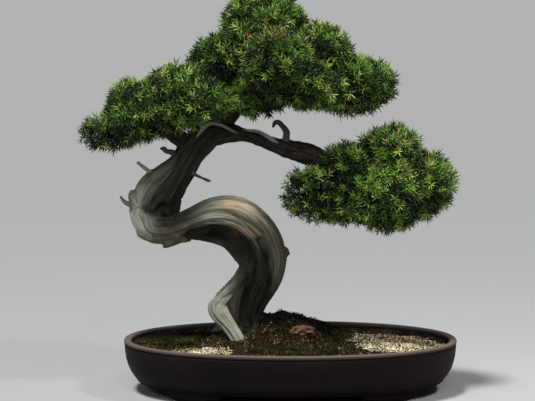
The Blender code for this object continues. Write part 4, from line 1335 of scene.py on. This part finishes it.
def shoot(number):
    """A shoot tip: a short stem with whorls of three awl-shaped needles that point outwards and forwards."""
    rng = np.random.default_rng(100 + number)
    bm = bmesh.new()
    marks = {key: bm.verts.layers.float.new(key) for key in ("along", "across")}

    def spike(root, axis, width, length, start, end):
        side = unit(np.cross(axis, (0.3, 0.2, 0.9)))
        over = np.cross(axis, side)
        foot, tip = bm.verts.new(root), bm.verts.new(root + axis * length)
        foot[marks["along"]], tip[marks["along"]] = start, end
        belt = []
        for angle, place in ((0.0, -1.0), (2.094, 0.0), (4.189, 1.0)):
            out = width * (side * math.cos(angle) + over * math.sin(angle))
            vert = bm.verts.new(root + axis * length * 0.30 + out)
            vert[marks["along"]] = start + (end - start) * (0.32 if place == 0.0 else 0.28)
            vert[marks["across"]] = place
            belt.append(vert)
        for i in range(3):
            bm.faces.new((belt[(i + 1) % 3], belt[i], foot))
            bm.faces.new((belt[i], belt[(i + 1) % 3], tip))

    up = np.array([0.0, 0.0, 1.0])
    turn = rng.uniform(0, 2 * np.pi)
    spike(np.zeros(3), up, 0.0010, STEM_LENGTH, 0.0, 0.8)
    for level, height in enumerate(WHORL_HEIGHTS):
        turn += 1.05
        for k in range(3):
            angle = turn + k * 2.094 + rng.uniform(-0.35, 0.35)
            axis = leaning(angle, math.radians(66 - 15 * level + rng.uniform(-13, 13)))
            spike(up * height, axis, rng.uniform(0.00095, 0.00125), rng.uniform(*NEEDLE_LENGTH), 0.05, 1.0)
    bm.normal_update()
    return placed(f"shoot_{number}", from_bmesh(f"shoot_{number}", bm))


def lobe_centres(half, number):
    """Directions of the foliage lobes of one clump, spread evenly with some jitter."""
    sections = (half[0] * half[1], half[0] * half[2], half[1] * half[2])
    area = 4 * np.pi * sum(section**1.6 / 3 for section in sections) ** (1 / 1.6)
    count = int(area / LOBE_SPACING**2)
    rng = np.random.default_rng(300 + number)
    k = np.arange(count) + 0.5
    z = 1 - 2 * k / count
    turn = k * GOLDEN_ANGLE + rng.uniform(0, 6.28)
    spiral = np.stack([np.sqrt(1 - z * z) * np.cos(turn), np.sqrt(1 - z * z) * np.sin(turn), z], axis=1)
    return unit(spiral + rng.normal(0, 0.10, spiral.shape)), rng.uniform(-1, 1, count)


def clump_skin(name, number, centre, half, others):
    """The lobed surface that a clump's shoots grow on; its cover is 0 where another clump hides it."""
    mesh = ball(name, 5)
    centre, half = np.array(centre), np.array(half) - SHOOT_REACH
    away = unit(points_of(mesh))
    rough = away * half
    middles, tints = lobe_centres(half, number)
    gap = np.linalg.norm(rough[:, None, :] - (middles * half)[None], axis=2)
    tint = tints[gap.argmin(axis=1)]
    dome = np.sqrt(np.clip(1 - (gap.min(axis=1) / (LOBE_SPACING * 0.70)) ** 2, 0, 1))
    swell = layered_noise((centre + rough) * 15, 111, 2, 0.5)
    size = np.linalg.norm(rough, axis=1)
    reach = size * (1 + 0.10 * swell) - LOBE_HEIGHT * (1 - dome) + 0.004 * tint + 0.002
    points = centre + away * half * (reach / size)[:, None]
    set_points(mesh, points)
    cover = np.clip(0.12 + 2.4 * dome, 0, 1) * FEATHERY.get(name, 1.0)
    for other_centre, other_half in others:
        inside = (points - other_centre) / (np.array(other_half) - SHOOT_REACH - 0.004)
        cover *= np.linalg.norm(inside, axis=1) > 1.0
    store(mesh, "cover", cover)
    # Painted light and shade in the tone: lighter on the lobes' domes and towards the top, darker between
    # the lobes; tint, swell and fine noise vary it at random.
    patch = 0.22 + 0.34 * dome + 0.10 * tint + 0.10 * swell + 0.06 * lattice_noise(points * 110, 117)
    store(mesh, "patch", patch + 0.05 * away[:, 2])
    return mesh


def clump_shade_core(name, centre, half):
    """The dark core inside a clump, painted shade with some old growth, which closes the view between its
    lobes.
    """
    mesh = ball(name, 4)
    away = points_of(mesh)
    inner = (np.array(half) - SHOOT_REACH - SHADE_CORE_DEPTH) * (0.3 + 0.7 * FEATHERY.get(name, 1.0))
    rough = 1 + 0.22 * layered_noise(away * 5, 131) + 0.10 * lattice_noise(away * 19, 133)
    set_points(mesh, np.array(centre) + away * inner * rough[:, None])
    shown(placed(f"{name}_heart", mesh), "shade_core", [])


def needle_map(mesh):
    """A map whose two directions are the needle's tone and the place along it, for the finish's colours."""

    def values(name):
        found = np.empty(len(mesh.vertices), np.float32)
        mesh.attributes[name].data.foreach_get("value", found)
        return found

    corner = np.empty(len(mesh.loops), np.int32)
    mesh.loops.foreach_get("vertex_index", corner)
    u = 0.02 + 0.95 * values("tone") + 0.006 * values("across")
    v = 0.02 + 0.95 * values("along")
    both = np.stack([u, v], 1)[corner].astype(np.float32)
    mesh.uv_layers.new(name="OFBake").data.foreach_set("uv", both.ravel())


def make_foliage(dense):
    shoots = seed_collection("shoots", [shoot(i) for i in range(5)])
    for number, (node, (centre, half)) in enumerate(CLUMPS.items()):
        others = [place for other, place in CLUMPS.items() if other != node]
        made = scattered(
            f"{node}_visual", clump_skin(node, number, centre, half, others), dense, shoots, "needles",
            spacing=0.0044, density=90000.0, smallest=0.64, largest=1.08, sink=0.022, lean=0.55,
            lift=0.30, tone_spread=0.92, depth_shade=0.30, seed=200 + number,
        )
        needle_map(made.data)
        shown(made, "needles", [node])
        clump_shade_core(node, centre, half)


# ---- hidden parts, as the CAD has them


def finish_hidden_parts():
    for nodes, material in (
        (("drainage_screen_left", "drainage_screen_right"), "plastic"),
        (("screen_clip_left", "screen_clip_right", "anchor_wire"), "wire"),
        (("drainage_layer",), "pumice"),
    ):
        for node in nodes:
            mesh = frame["nodes"][node].data
            mesh.materials.clear()
            mesh.materials.append(FINISHES[material])


def clear_seeds():
    for obj in list(bpy.data.objects):
        if obj.name.startswith(("seed_", "shoot_")):
            bpy.data.objects.remove(obj, do_unlink=True)


make_stage()
make_lights_and_camera()
finish_hidden_parts()
make_pot()
make_soil()
make_covers(scatter_tree("scatter_loose", poisson=False))
make_lumps()
make_wood()
make_foliage(scatter_tree("scatter_dense", poisson=True))
clear_seeds()

bpy.context.view_layer.update()
